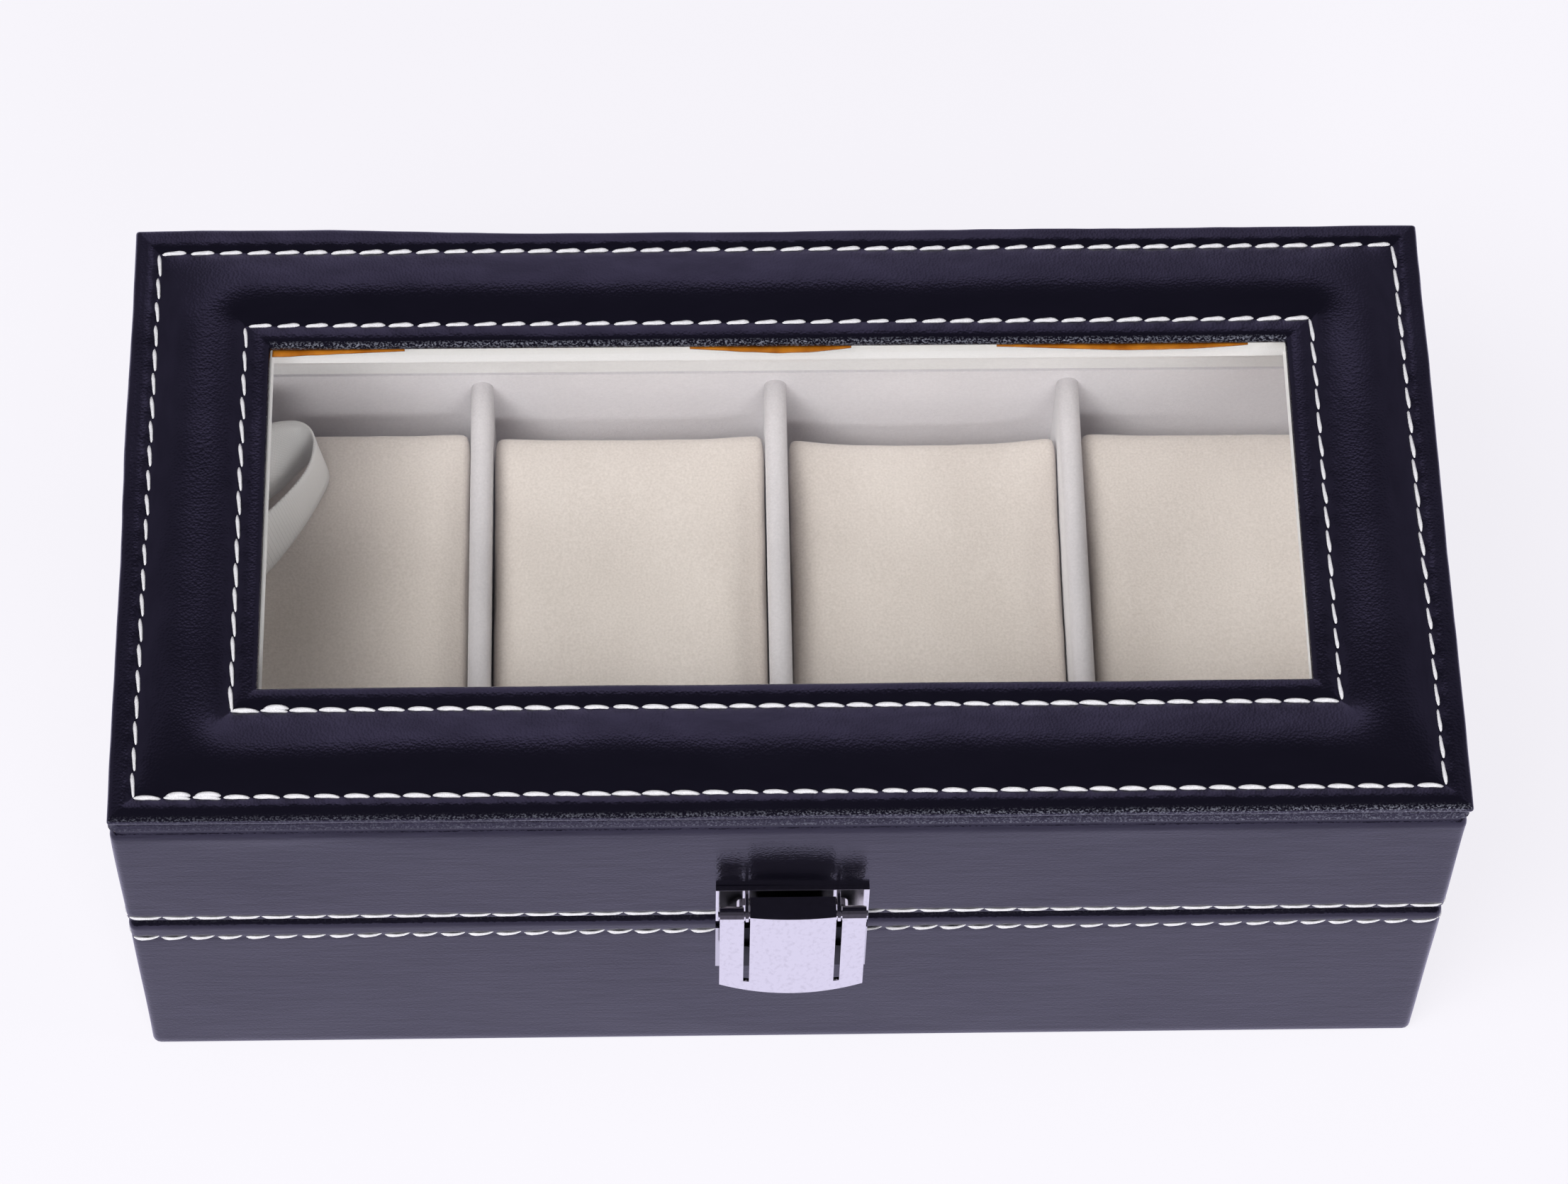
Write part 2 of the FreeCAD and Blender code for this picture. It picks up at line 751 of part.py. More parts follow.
node(bracket, "clasp_bracket")
place("pin_half", "flap_half + clasp_pin_proud")
clasp_pin_span = ("clasp_shift - pin_half", "clasp_shift + pin_half")
node(rod("clasp_pin_radius", "x", clasp_pin_span, ("clasp_pin_y", "clasp_pin_z")), "clasp_pin")

# Clasp flap: one bowed sheet; its outer fingers roll round the pin, and its middle is a
# spring tongue, freed by two slits, whose top bends back over the pin as a lip

place("flap_front", "clasp_pin_reach - flap_reach")
place("flap_low", "clasp_pin_drop - flap_height")
place("bow_hub", "flap_front + flap_bow_radius")
place("bow_inside", "flap_bow_radius - flap_sheet")
place("side_front", "bow_hub - sqrt(flap_bow_radius ^ 2 - flap_half ^ 2)")
place("side_back", "bow_hub - sqrt(bow_inside ^ 2 - flap_half ^ 2)")
place("tongue_front", "bow_hub - sqrt(flap_bow_radius ^ 2 - tongue_half ^ 2)")
place("lip_back", "clasp_pin_reach - lip_gap")
place("finger_near", "tongue_half + slit_width")
flap = new_body(x="clasp_shift", y="clasp_pin_y", z="clasp_pin_z")
bow = outline(
    new_sketch(flap, "XY_Plane", "flap_low"),
    [
        ("-flap_half", "side_front"),
        ("flap_half", "side_front"),
        ("flap_half", "side_back"),
        ("-flap_half", "side_back"),
    ],
    {0: ("left", (None, "bow_hub")), 2: ("right", (None, "bow_hub"))},
)
pad(flap, bow, "flap_height")
sheet_depth = ("flap_front - flap_sheet", "clasp_pin_reach")
above_top = "clasp_pin_drop + flap_sheet"
for side in (-1, 1):
    finger_top = ordered(side, f"{side} * tongue_half", f"{side} * (flap_half + flap_sheet)")
    block(finger_top, sheet_depth, ("0", above_top), flap, "PartDesign::SubtractiveBox")
    slit = ordered(side, f"{side} * tongue_half", f"{side} * finger_near")
    block(slit, sheet_depth, ("flap_low + slit_foot", above_top), flap, "PartDesign::SubtractiveBox")
    ear = ordered(side, f"{side} * finger_near", f"{side} * flap_half")
    rod("ear_radius", "x", ear, ("0", "0"), flap, "PartDesign::AdditiveCylinder")
lip = outline(
    new_sketch(flap, "XY_Plane", "clasp_pin_drop - flap_sheet"),
    [
        ("-tongue_half", "tongue_front"),
        ("tongue_half", "tongue_front"),
        ("tongue_half", "lip_back"),
        ("-tongue_half", "lip_back"),
    ],
    {0: ("left", (None, "bow_hub"))},
)
pad(flap, lip, "flap_sheet")
bead_spot = ("flap_front + flap_sheet + bead_radius / 2", "flap_low + bead_lift")
rod("bead_radius", "x", both("bead_width / 2"), bead_spot, flap, "PartDesign::AdditiveCylinder")
rod(clasp_bore, "x", both("flap_half"), ("0", "0"), flap, "PartDesign::SubtractiveCylinder")
place("arch_radius", "(flap_half ^ 2 + flap_arch ^ 2) / (2 * flap_arch)")
place("arch_hub", "flap_low + arch_radius")
place("arch_reach", "flap_half + flap_sheet")
place("arch_end", "arch_hub - sqrt(arch_radius ^ 2 - arch_reach ^ 2)")
arch = outline(
    new_sketch(flap, "XZ_Plane"),
    [
        ("-arch_reach", "flap_low - flap_arch"),
        ("arch_reach", "flap_low - flap_arch"),
        ("arch_reach", "arch_end"),
        ("-arch_reach", "arch_end"),
    ],
    {2: ("right", (None, "arch_hub"))},
)
pocket_through(flap, arch)
node(flap, "clasp_flap")

# Clasp catch on the base: a plate with a sloping nose that the flap's bead comes down behind

catch = new_body(x="clasp_shift", y="-half_depth", z="catch_high")
catch_plate = ("-catch_sheet", "0")
block(both("bracket_width / 2"), catch_plate, ("-catch_height", "0"), catch, "PartDesign::AdditiveBox")
place("nose_root", "-catch_sheet / 2")
place("nose_hub", "nose_tip / 2 - nose_reach")
nose = outline(
    new_sketch(catch, "YZ_Plane"),
    [
        ("nose_root", "nose_slope - nose_drop"),
        ("nose_hub", "-nose_drop"),
        ("nose_hub", "-nose_drop - nose_tip"),
        ("nose_root", "-nose_drop - nose_tip"),
    ],
    {1: ("left", ("nose_hub", None))},
)
pad(catch, nose, "nose_width", both_ways=True)
for way in (-1, 1):
    spot = (f"{way} * clasp_screw_spread / 2", "catch_screw_z - catch_high")
    rod("screw_radius + screw_clearance", "y", catch_plate, spot, catch, "PartDesign::SubtractiveCylinder")
node(catch, "clasp_catch")

# Ribbon that stays the lid: a loop of satin on the left wall, slack while the lid is shut

place("ribbon_radius", "(ribbon_span ^ 2 / 4 + ribbon_bulge ^ 2) / (2 * ribbon_bulge)")
place("ribbon_x", "ribbon_bulge - inside_x - ribbon_radius")
place("ribbon_low", "base_height - ribbon_drop")
place("ribbon_high", "ribbon_low + ribbon_width")
loop_spot = ("ribbon_x", "ribbon_middle")
loop_rise = ("ribbon_low", "ribbon_high")
loop_outside = rod("ribbon_radius", "z", loop_rise, loop_spot)
loop_inside = rod("ribbon_radius - ribbon_sheet", "z", loop_rise, loop_spot)
behind_wall = ("-inside_x - 2 * ribbon_radius", "ribbon_clearance - inside_x")
loop_width = ("ribbon_middle - 2 * ribbon_radius", "ribbon_middle + 2 * ribbon_radius")
node(cut(loop_outside, [loop_inside, block(behind_wall, loop_width, loop_rise)]), "stay_ribbon")

# Check every object, then write the pieces

doc.recompute()
for item in doc.Objects:
    if "Invalid" in item.State or "Error" in item.State:
        raise RuntimeError(f"{item.Label} failed: {item.State}")
for item in nodes:
    if item.Shape.isNull() or not item.Shape.isValid():
        raise RuntimeError(f"{item.Label} has no valid shape")
os.makedirs("parts", exist_ok=True)
for item in nodes:
    item.Shape.exportStep(f"parts/{item.Label}.step")
print(len(nodes), "pieces written")
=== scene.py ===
"""A four-place watch box in black leatherette: its looks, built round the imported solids."""
import math

import bmesh
import bpy
from mathutils import Matrix, Vector, noise


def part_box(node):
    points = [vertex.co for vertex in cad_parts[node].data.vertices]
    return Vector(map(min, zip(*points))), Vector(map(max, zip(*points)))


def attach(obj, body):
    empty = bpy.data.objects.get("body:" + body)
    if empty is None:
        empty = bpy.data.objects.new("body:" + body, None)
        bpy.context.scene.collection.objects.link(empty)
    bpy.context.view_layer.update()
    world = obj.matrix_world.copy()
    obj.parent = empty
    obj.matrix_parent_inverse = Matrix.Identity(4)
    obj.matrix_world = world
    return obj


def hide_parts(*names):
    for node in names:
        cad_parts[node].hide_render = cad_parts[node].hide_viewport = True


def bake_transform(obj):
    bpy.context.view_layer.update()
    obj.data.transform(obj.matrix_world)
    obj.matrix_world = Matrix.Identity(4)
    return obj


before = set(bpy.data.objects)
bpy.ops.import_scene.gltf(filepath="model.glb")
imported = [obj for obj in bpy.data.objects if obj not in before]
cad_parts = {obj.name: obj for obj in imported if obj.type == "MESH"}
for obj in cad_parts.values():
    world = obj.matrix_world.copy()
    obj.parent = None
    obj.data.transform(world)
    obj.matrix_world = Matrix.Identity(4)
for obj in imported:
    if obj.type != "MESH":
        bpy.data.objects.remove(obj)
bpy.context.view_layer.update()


# Boards: walls, bottom, rails and top of brown fibreboard, glued at the corners.
# They are the stiff back of everything else, and leather and lining cover them all over.
mm = 0.001


def new_finish(name, **sockets):
    """A material with one Principled shader, whose fixed sockets are set by name."""
    finish = bpy.data.materials.new(name)
    finish.use_nodes = True
    for socket, value in sockets.items():
        finish.node_tree.nodes["Principled BSDF"].inputs[socket.replace("_", " ")].default_value = value
    return finish


def add_node(finish, kind, sockets, **settings):
    """A new node in finish; sockets gives its inputs, as numbers or as other nodes' outputs."""
    made = finish.node_tree.nodes.new("ShaderNode" + kind)
    for setting, value in settings.items():
        setattr(made, setting, value)
    for socket, value in sockets.items():
        if isinstance(value, bpy.types.NodeSocket):
            finish.node_tree.links.new(value, made.inputs[socket])
        else:
            made.inputs[socket].default_value = value
    return made


def feed(finish, socket, source):
    """Join a node's output to a socket of the finish's shader."""
    shader = finish.node_tree.nodes["Principled BSDF"]
    finish.node_tree.links.new(source, shader.inputs[socket])


def cloud(finish, size, stretch=(1.0, 1.0, 1.0), detail=3.0):
    """Noise in object space whose lumps are about size across, drawn out along stretch."""
    place = add_node(finish, "TexCoord", {}).outputs["Object"]
    drawn = add_node(finish, "Mapping", {"Vector": place, "Scale": [1 / (size * s) for s in stretch]})
    sockets = {"Vector": drawn.outputs["Vector"], "Scale": 1.0, "Detail": detail}
    return add_node(finish, "TexNoise", sockets).outputs["Fac"]


def tints(finish, source, low, high, dark, light):
    """Colour from dark to light as source goes from low to high."""
    ramp = add_node(finish, "ValToRGB", {"Fac": source})
    for stop, place, colour in zip(ramp.color_ramp.elements, (low, high), (dark, light)):
        stop.position = place
        stop.color = (*colour, 1.0)
    return ramp.outputs["Color"]


def paint(finish, source, low, high, dark, light):
    """Colour the finish from dark to light as source goes from low to high."""
    feed(finish, "Base Color", tints(finish, source, low, high, dark, light))


def relief(finish, height, depth, under=None):
    """A bump of the given depth from height, over another bump's normal."""
    sockets = {"Height": height, "Strength": 1.0, "Distance": depth}
    if under:
        sockets["Normal"] = under
    return add_node(finish, "Bump", sockets).outputs["Normal"]


def dress(finish, *nodes):
    """Give CAD nodes a finish."""
    for name in nodes:
        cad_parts[name].data.materials.clear()
        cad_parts[name].data.materials.append(finish)


fibreboard = new_finish("fibreboard", Roughness=0.85)
fibres = cloud(fibreboard, 0.9 * mm, (6.0, 6.0, 0.6))
paint(fibreboard, fibres, 0.3, 0.7, (0.19, 0.12, 0.07), (0.36, 0.25, 0.16))
feed(fibreboard, "Normal", relief(fibreboard, fibres, 0.1 * mm))
walls = ("front", "rear", "left", "right")
dress(fibreboard, *[f"base_{wall}_wall" for wall in walls], "base_bottom_board")
dress(fibreboard, *[f"lid_{wall}_rail" for wall in walls], "lid_top_board")


# Base cover: one piece of thin black leatherette, glued round the four walls. It folds
# over the rim to the lining, and turns in under the bottom board, where the felt hides its edge.
box_x, box_y = 100.0 * mm, 51.75 * mm
leather_thick, cover_corner, cover_step = 0.8 * mm, 1.1 * mm, 1.2 * mm
base_foot, foot_round = 0.4 * mm, 0.7 * mm
base_rim, rim_round = 42.2 * mm, 1.8 * mm
base_seam, base_slope, base_pitch = 38.3 * mm, 0.0075, 4.25 * mm
rim_reach, turn_in = 4.3 * mm, 12 * mm
wear_glint_half, rim_wear_and_glint = 0.6 * mm, 0.2


def next_ring(bm, ring):
    """Extrude a ring of edges where it lies; the new ring's edges and its corners."""
    new = bmesh.ops.extrude_edge_only(bm, edges=ring)["geom"]
    corners = [g for g in new if isinstance(g, bmesh.types.BMVert)]
    known = set(corners)
    edges = [g for g in new if isinstance(g, bmesh.types.BMEdge) and known.issuperset(g.verts)]
    return edges, corners


def edge_ring(bm, half_x, half_y, corner, step, height):
    """A closed ring of edges at a height: a rectangle with round corners, divided along its sides."""
    lie = Matrix.Translation((0.0, 0.0, height)) @ Matrix.Diagonal((half_x, half_y, 1.0, 1.0))
    bmesh.ops.create_grid(bm, x_segments=1, y_segments=1, size=1.0, matrix=lie)
    bmesh.ops.bevel(bm, geom=bm.verts[:], offset=corner, offset_type="OFFSET", segments=4,
                    profile=0.5, affect="VERTICES", material=-1)
    bmesh.ops.delete(bm, geom=bm.faces[:], context="FACES_ONLY")
    for side in [e for e in bm.edges if e.calc_length() > 2 * corner]:
        bmesh.ops.subdivide_edges(bm, edges=[side], cuts=round(side.calc_length() / step) - 1)
    return bm.edges[:]


def wrapped(half_x, half_y, corner, step, profile):
    """A closed cover: a ring drawn along the (inset, height) steps of profile and joined to its start."""
    bm = bmesh.new()
    inset, height = profile[0]
    first = ring = edge_ring(bm, half_x - inset, half_y - inset, corner, step, height)
    for next_inset, next_height in profile[1:]:
        ring, corners = next_ring(bm, ring)
        reach = ((half_x - next_inset) / (half_x - inset), (half_y - next_inset) / (half_y - inset), 1.0)
        bmesh.ops.scale(bm, vec=reach, verts=corners)
        bmesh.ops.translate(bm, vec=(0.0, 0.0, next_height - height), verts=corners)
        inset, height = next_inset, next_height
    bmesh.ops.bridge_loops(bm, edges=ring + first)
    bmesh.ops.recalc_face_normals(bm, faces=bm.faces[:])
    bm.normal_update()
    return bm


def fold(centre, radius, first_turn, last_turn, steps):
    """Steps of a profile round a fold, from one turn to another, in degrees from the outside."""
    turns = [math.radians(first_turn + (last_turn - first_turn) * n / steps) for n in range(steps + 1)]
    return [(centre[0] - radius * math.cos(t), centre[1] + radius * math.sin(t)) for t in turns]


def climb(low, high, seam):
    """Heights up a wall, close together beside the seam."""
    wide_step, close_step, close_reach = 1.6 * mm, 0.35 * mm, 2.4 * mm
    count = round((high - low) / wide_step)
    near = [seam + n * close_step for n in range(-5, 6)]
    far = [low + (high - low) * n / count for n in range(count + 1)]
    return sorted(near + [z for z in far if abs(z - seam) > close_reach])


def swell(co, size):
    """Soft waves of the glued leather, from -1 to 1, about size across."""
    return noise.noise(co / size) * 1.6


def settle_walls(bm, seam, slope, pitch, low, high):
    """Move a cover's outer walls: soft waves, a valley along the seam, and a dimple at each hole."""
    wave_high, wave_long = 0.10 * mm, 26 * mm
    valley_deep, valley_half = 0.16 * mm, 0.55 * mm
    outer_x, outer_y = box_x - 0.3 * mm, box_y - 0.3 * mm
    for vert in bm.verts:
        out = Vector((vert.normal.x, vert.normal.y, 0.0))
        if out.length < 0.8 or not low < vert.co.z < high:
            continue
        if abs(vert.co.x) < outer_x and abs(vert.co.y) < outer_y:
            continue
        edge = min(1.0, (vert.co.z - low) / (4 * mm), (high - vert.co.z) / (2 * mm))
        along = vert.co.x if abs(vert.normal.y) > abs(vert.normal.x) else vert.co.y
        from_seam = (vert.co.z - seam - slope * vert.co.x) / valley_half
        hole = 0.6 + 0.4 * math.cos(2 * math.pi * along / pitch)
        depth = valley_deep * hole * math.exp(-from_seam ** 2)
        vert.co += out.normalized() * (wave_high * edge * swell(vert.co, wave_long) - depth)


def shown(name, bm, finish, smooth=True):
    """The finished object of a mesh, in its place."""
    mesh = bpy.data.meshes.new(name)
    bm.to_mesh(mesh)
    bm.free()
    mesh.materials.append(finish)
    mesh.polygons.foreach_set("use_smooth", [smooth] * len(mesh.polygons))
    piece = bpy.data.objects.new(name, mesh)
    bpy.context.scene.collection.objects.link(piece)
    return piece


def mark_wear_and_glints(piece, wear_and_glint_at):
    """Mark where edges are worn and carry painted highlights, glints of the grain: the given function of a
    point goes from 0 to 1.
    """
    marks = piece.data.attributes.new("wear_and_glint_edge", "FLOAT", "POINT")
    marks.data.foreach_set("value", [wear_and_glint_at(vert.co) for vert in piece.data.vertices])


def wear_glint_line(distance):
    """Wear and painted highlight along an edge: 1 on its line, and none at the set half width to either side.
    """
    return max(0.0, 1.0 - abs(distance) / wear_glint_half)


def spread(finish, source, low, high, least, most):
    """A number from least to most as source goes from low to high."""
    sockets = {"Value": source, "From Min": low, "From Max": high, "To Min": least, "To Max": most}
    return add_node(finish, "MapRange", sockets).outputs["Result"]


def calculate(finish, operation, *values):
    """What a Math node makes of numbers and other nodes' outputs."""
    return add_node(finish, "Math", dict(enumerate(values)), operation=operation).outputs["Value"]


black_leather = new_finish("black_leather", IOR=1.58, Specular_Tint=(0.80, 0.76, 1.0, 1.0))
# Marked edges carry lighter flecks that are partly wear and partly painted highlight: glints of the grain
# where the edges face the lights.
leather_black, leather_rubbed_glint = (0.0040, 0.0036, 0.0072), (0.170, 0.175, 0.215)
pebble_wide, grain_deep = 0.42 * mm, 0.018 * mm
leather_place = add_node(black_leather, "TexCoord", {}).outputs["Object"]
pebbles = add_node(black_leather, "TexVoronoi", {
    "Vector": leather_place, "Scale": 1 / pebble_wide, "Randomness": 1.0}).outputs["Distance"]
streaks = cloud(black_leather, 0.5 * mm, (14.0, 14.0, 0.8), 2.0)
patches = cloud(black_leather, 18 * mm)
specks = cloud(black_leather, 0.26 * mm, (1.3, 1.0, 1.0), 2.0)
wear_and_glint = add_node(black_leather, "Attribute", {}, attribute_name="wear_and_glint_edge").outputs["Fac"]
wear_glint_flecks = calculate(black_leather, "MULTIPLY", spread(black_leather, specks, 0.48, 0.66, 0.0, 1.0), wear_and_glint)
paint(black_leather, wear_glint_flecks, 0.0, 1.0, leather_black, leather_rubbed_glint)
feed(black_leather, "Roughness", spread(black_leather, patches, 0.3, 0.7, 0.15, 0.20))
feed(black_leather, "Specular IOR Level", spread(black_leather, streaks, 0.3, 0.7, 0.42, 0.58))
creased = calculate(black_leather, "MULTIPLY_ADD", wear_and_glint, 1.5, 1.0)
grain = calculate(black_leather, "MULTIPLY", pebbles, creased)
drawn_grain = relief(black_leather, streaks, grain_deep)
feed(black_leather, "Normal", relief(black_leather, grain, grain_deep, drawn_grain))

base_profile = [(turn_in, base_foot), (6 * mm, base_foot)]
base_profile += fold((foot_round, base_foot + foot_round), foot_round, -90, 0, 3)
base_profile += [(0.0, z) for z in climb(base_foot + 2 * mm, base_rim - 2.1 * mm, base_seam)]
base_profile += fold((rim_round, base_rim - rim_round), rim_round, 0, 90, 6)
base_profile += [(2.9 * mm, base_rim), (rim_reach, base_rim), (rim_reach, base_rim - leather_thick),
                 (leather_thick, base_rim - leather_thick), (leather_thick, base_foot + leather_thick),
                 (turn_in, base_foot + leather_thick)]
base_shell = wrapped(box_x, box_y, cover_corner, cover_step, base_profile)
settle_walls(base_shell, base_seam, base_slope, base_pitch, base_foot + foot_round, base_rim - rim_round)
base_cover = shown("base_cover", base_shell, black_leather)
mark_wear_and_glints(base_cover, lambda co: rim_wear_and_glint * wear_glint_line(co.z - base_rim))
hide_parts("base_leather")
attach(base_cover, "base")


# Stitches round the base: white two-ply thread in one row below the rim. Each stitch
# dips into its holes and hangs a little in the middle, as machine stitches on a wall do.
def twisted_stitch(thickness):
    """One stitch along x, one long, of two plies; thickness gives its bulk from hole to hole."""
    flatness, twist = 0.8, Matrix.Rotation(math.radians(35), 3, "X")
    steps = len(thickness) - 1
    bm = bmesh.new()
    upright = Matrix.Translation((-0.5, 0.0, 0.0)) @ Matrix.Rotation(math.radians(90), 4, "Y")
    bmesh.ops.create_circle(bm, cap_ends=True, segments=8, radius=0.5, matrix=upright)
    bmesh.ops.scale(bm, vec=(1.0, flatness * thickness[0], thickness[0]), verts=bm.verts[:])
    ring = bm.edges[:]
    for before, after in zip(thickness, thickness[1:]):
        ring, corners = next_ring(bm, ring)
        bmesh.ops.scale(bm, vec=(1.0, after / before, after / before), verts=corners)
        bmesh.ops.rotate(bm, matrix=twist, verts=corners)
        bmesh.ops.translate(bm, vec=(1.0 / steps, 0.0, 0.0), verts=corners)
    bmesh.ops.contextual_create(bm, geom=ring)
    bmesh.ops.recalc_face_normals(bm, faces=bm.faces[:])
    mesh = bpy.data.meshes.new("twisted_stitch")
    bm.to_mesh(mesh)
    bm.free()
    return mesh


full_stitch = twisted_stitch((0.4, 0.85, 1.0, 1.0, 1.0, 0.95, 0.8, 0.35))
drawn_stitch = twisted_stitch((0.35, 0.8, 1.0, 1.0, 0.9, 0.72, 0.5, 0.22))
# Where, beside a stitch, the noise is read that makes its lean, length and thickness uneven
uneven_places = (Vector((9.3, -1.5, -8.0)), Vector((0.0, 0.0, 0.0)), Vector((6.3, 0.2, -2.7)))


def sew(bm, shape, start, end, outward, pitch, long, thick, hang=0.0, lean=0.0, dip=0.45):
    """Lay uneven stitches from start to end on a face that looks outward; hang bends each in the face."""
    uneven_lean, uneven_long, uneven_thick, uneven_pace = 0.05, 0.05, 0.12, 1.7 * mm
    hang_place, hang_rest = -0.16, 0.06
    run = end - start
    count = round(run.length / pitch)
    along = run.normalized()
    across = outward.cross(along)
    turn = Matrix((along, across, outward)).transposed().to_4x4()
    for number in range(count):
        spot = start + run * ((number + 0.5) / count)
        leaning, longer, thicker = [noise.noise(spot / uneven_pace + place) for place in uneven_places]
        sway = Matrix.Rotation(lean + uneven_lean * leaning, 4, "Z")
        bulk = Matrix.Diagonal((long * (1 + uneven_long * longer), thick * (1 + uneven_thick * thicker),
                                thick, 1.0))
        first = len(bm.verts)
        bm.from_mesh(shape)
        bm.verts.ensure_lookup_table()
        verts = bm.verts[first:]
        for vert in verts:
            share = vert.co.x
            vert.co.z -= dip * (2 * share) ** 4
            vert.co.y += hang / thick * ((share - hang_place) ** 2 - hang_rest)
        bmesh.ops.transform(bm, matrix=Matrix.Translation(spot) @ turn @ sway @ bulk, verts=verts)


def sew_walls(bm, shape, height, slope, pitch, long, thick, hang):
    """A row of stitches round all four walls, at a height that grows along x by the slope."""
    corner_gap, stand_off = 0.5 * mm, 0.02 * mm
    sides = ((0, box_x, box_y), (90, box_y, box_x), (180, box_x, box_y), (270, box_y, box_x))
    for turn, reach, out in sides:
        spin = Matrix.Rotation(math.radians(turn), 3, "Z")
        start = spin @ Vector((corner_gap - reach, -out - stand_off, height))
        end = spin @ Vector((reach - corner_gap, -out - stand_off, height))
        start.z += slope * start.x
        end.z += slope * end.x
        sew(bm, shape, start, end, spin @ Vector((0.0, -1.0, 0.0)), pitch, long, thick, hang)


white_thread = new_finish("white_thread", Roughness=0.62, Sheen_Weight=0.25)
strands = cloud(white_thread, 0.16 * mm, detail=2.0)
paint(white_thread, strands, 0.25, 0.7, (0.52, 0.51, 0.54), (0.77, 0.76, 0.79))
feed(white_thread, "Normal", relief(white_thread, strands, 0.05 * mm))

base_row = bmesh.new()
sew_walls(base_row, drawn_stitch, base_seam, base_slope, base_pitch,
          long=4.25 * mm, thick=0.56 * mm, hang=2.1 * mm)
base_stitches = shown("base_stitches", base_row, white_thread)
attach(base_stitches, "base")


# Felt under the base: black wool felt, die cut a little smaller than the box and glued
# over the leather's turned-in edge, so that the box doesn't scratch a table.
black_felt = new_finish("black_felt", Roughness=0.95, Sheen_Weight=0.3)
wool = cloud(black_felt, 0.5 * mm, detail=5.0)
paint(black_felt, wool, 0.3, 0.7, (0.006, 0.006, 0.007), (0.022, 0.022, 0.025))
feed(black_felt, "Normal", relief(black_felt, wool, 0.25 * mm))
dress(black_felt, "base_felt")


# Base lining and dividers: thin card covered in pale grey velvet, pushed in dry. The
# three dividers stand in the floor's seams and part the box into four places.
def napped(name, dark, light, sheen, brushed):
    """Cloth with a short nap: fine pile, and lighter and darker ways that it has been brushed."""
    finish = new_finish(name, Roughness=0.9, Sheen_Weight=sheen, Sheen_Roughness=0.5)
    pile = cloud(finish, 0.36 * mm, detail=4.0)
    ways = cloud(finish, 22 * mm, (1.0, 1.7, 1.0), 2.0)
    pile_share = spread(finish, pile, 0.25, 0.75, 0.0, 1.0 - brushed)
    ways_share = spread(finish, ways, 0.35, 0.65, 0.0, brushed)
    paint(finish, calculate(finish, "ADD", pile_share, ways_share), 0.0, 1.0, dark, light)
    feed(finish, "Normal", relief(finish, pile, 0.06 * mm))
    return finish


# The linings and dividers are one pale grey velvet in two copies: a lighter, lit copy on the linings, and a
# darker copy on the dividers as painted shade, since their tops lie in the window frame's shade.
grey_velvet = napped("grey_velvet", (0.79, 0.76, 0.78), (0.90, 0.87, 0.89), 0.5, 0.3)
dress(grey_velvet, *[f"base_{wall}_lining" for wall in walls], "base_floor_lining")
grey_velvet_shaded = napped("grey_velvet_shaded", (0.56, 0.535, 0.545), (0.68, 0.65, 0.66), 0.4, 0.3)
dress(grey_velvet_shaded, "divider_1", "divider_2", "divider_3")


# Pillows: foam wrapped in beige suede cloth, one for each watch strap. They are soft, so
# each is blown up a little like a cushion, and no two have quite the same top.
pillow_puff, most_puff, puff_steps, pillow_cuts = 4.0, 0.9 * mm, 15, 23
side_bulge, side_spill, end_spill, rear_draw = 1.02, 0.6 * mm, 0.4 * mm, 1.6 * mm
lump_high, lump_long = 0.3 * mm, 14 * mm
# Height of each top's rear edge, how far its middle sags, and how far its rear corners stand up
pillow_tops = ((36.4, 0.5, 0.3), (34.6, 0.6, 0.7), (32.2, 0.8, 1.9), (34.6, 0.5, 0.4))
beige_suede = napped("beige_suede", (0.585, 0.525, 0.475), (0.785, 0.72, 0.665), 0.3, 0.35)


def taken(piece):
    """The mesh that a piece's modifiers make."""
    bpy.context.view_layer.update()
    finished = piece.evaluated_get(bpy.context.evaluated_depsgraph_get())
    return bpy.data.meshes.new_from_object(finished)


def pillow_body(number):
    """A pillow's block of foam, covered with small even faces."""
    low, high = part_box(f"pillow_{number}_cover")
    bm = bmesh.new()
    lie = Matrix.Translation((low + high) / 2) @ Matrix.Diagonal((*(high - low), 1.0))
    bmesh.ops.create_cube(bm, size=1.0, matrix=lie)
    bmesh.ops.subdivide_edges(bm, edges=bm.edges[:], cuts=pillow_cuts, use_grid_fill=True)
    return shown(f"pillow_{number}", bm, beige_suede)


def puffed(pillows):
    """The pillows' points after a short cloth simulation under pressure."""
    for pillow in pillows:
        cloth = pillow.modifiers.new("puff", "CLOTH")
        cloth.settings.use_pressure = True
        cloth.settings.uniform_pressure_force = pillow_puff
        cloth.settings.effector_weights.gravity = 0.0
        cloth.settings.tension_stiffness = 30
        cloth.settings.bending_stiffness = 2
    for step in range(1, puff_steps + 1):
        bpy.context.scene.frame_set(step)
    blown = [[vert.co.copy() for vert in taken(pillow).vertices] for pillow in pillows]
    for pillow in pillows:
        pillow.modifiers.clear()
    bpy.context.scene.frame_set(1)
    return blown


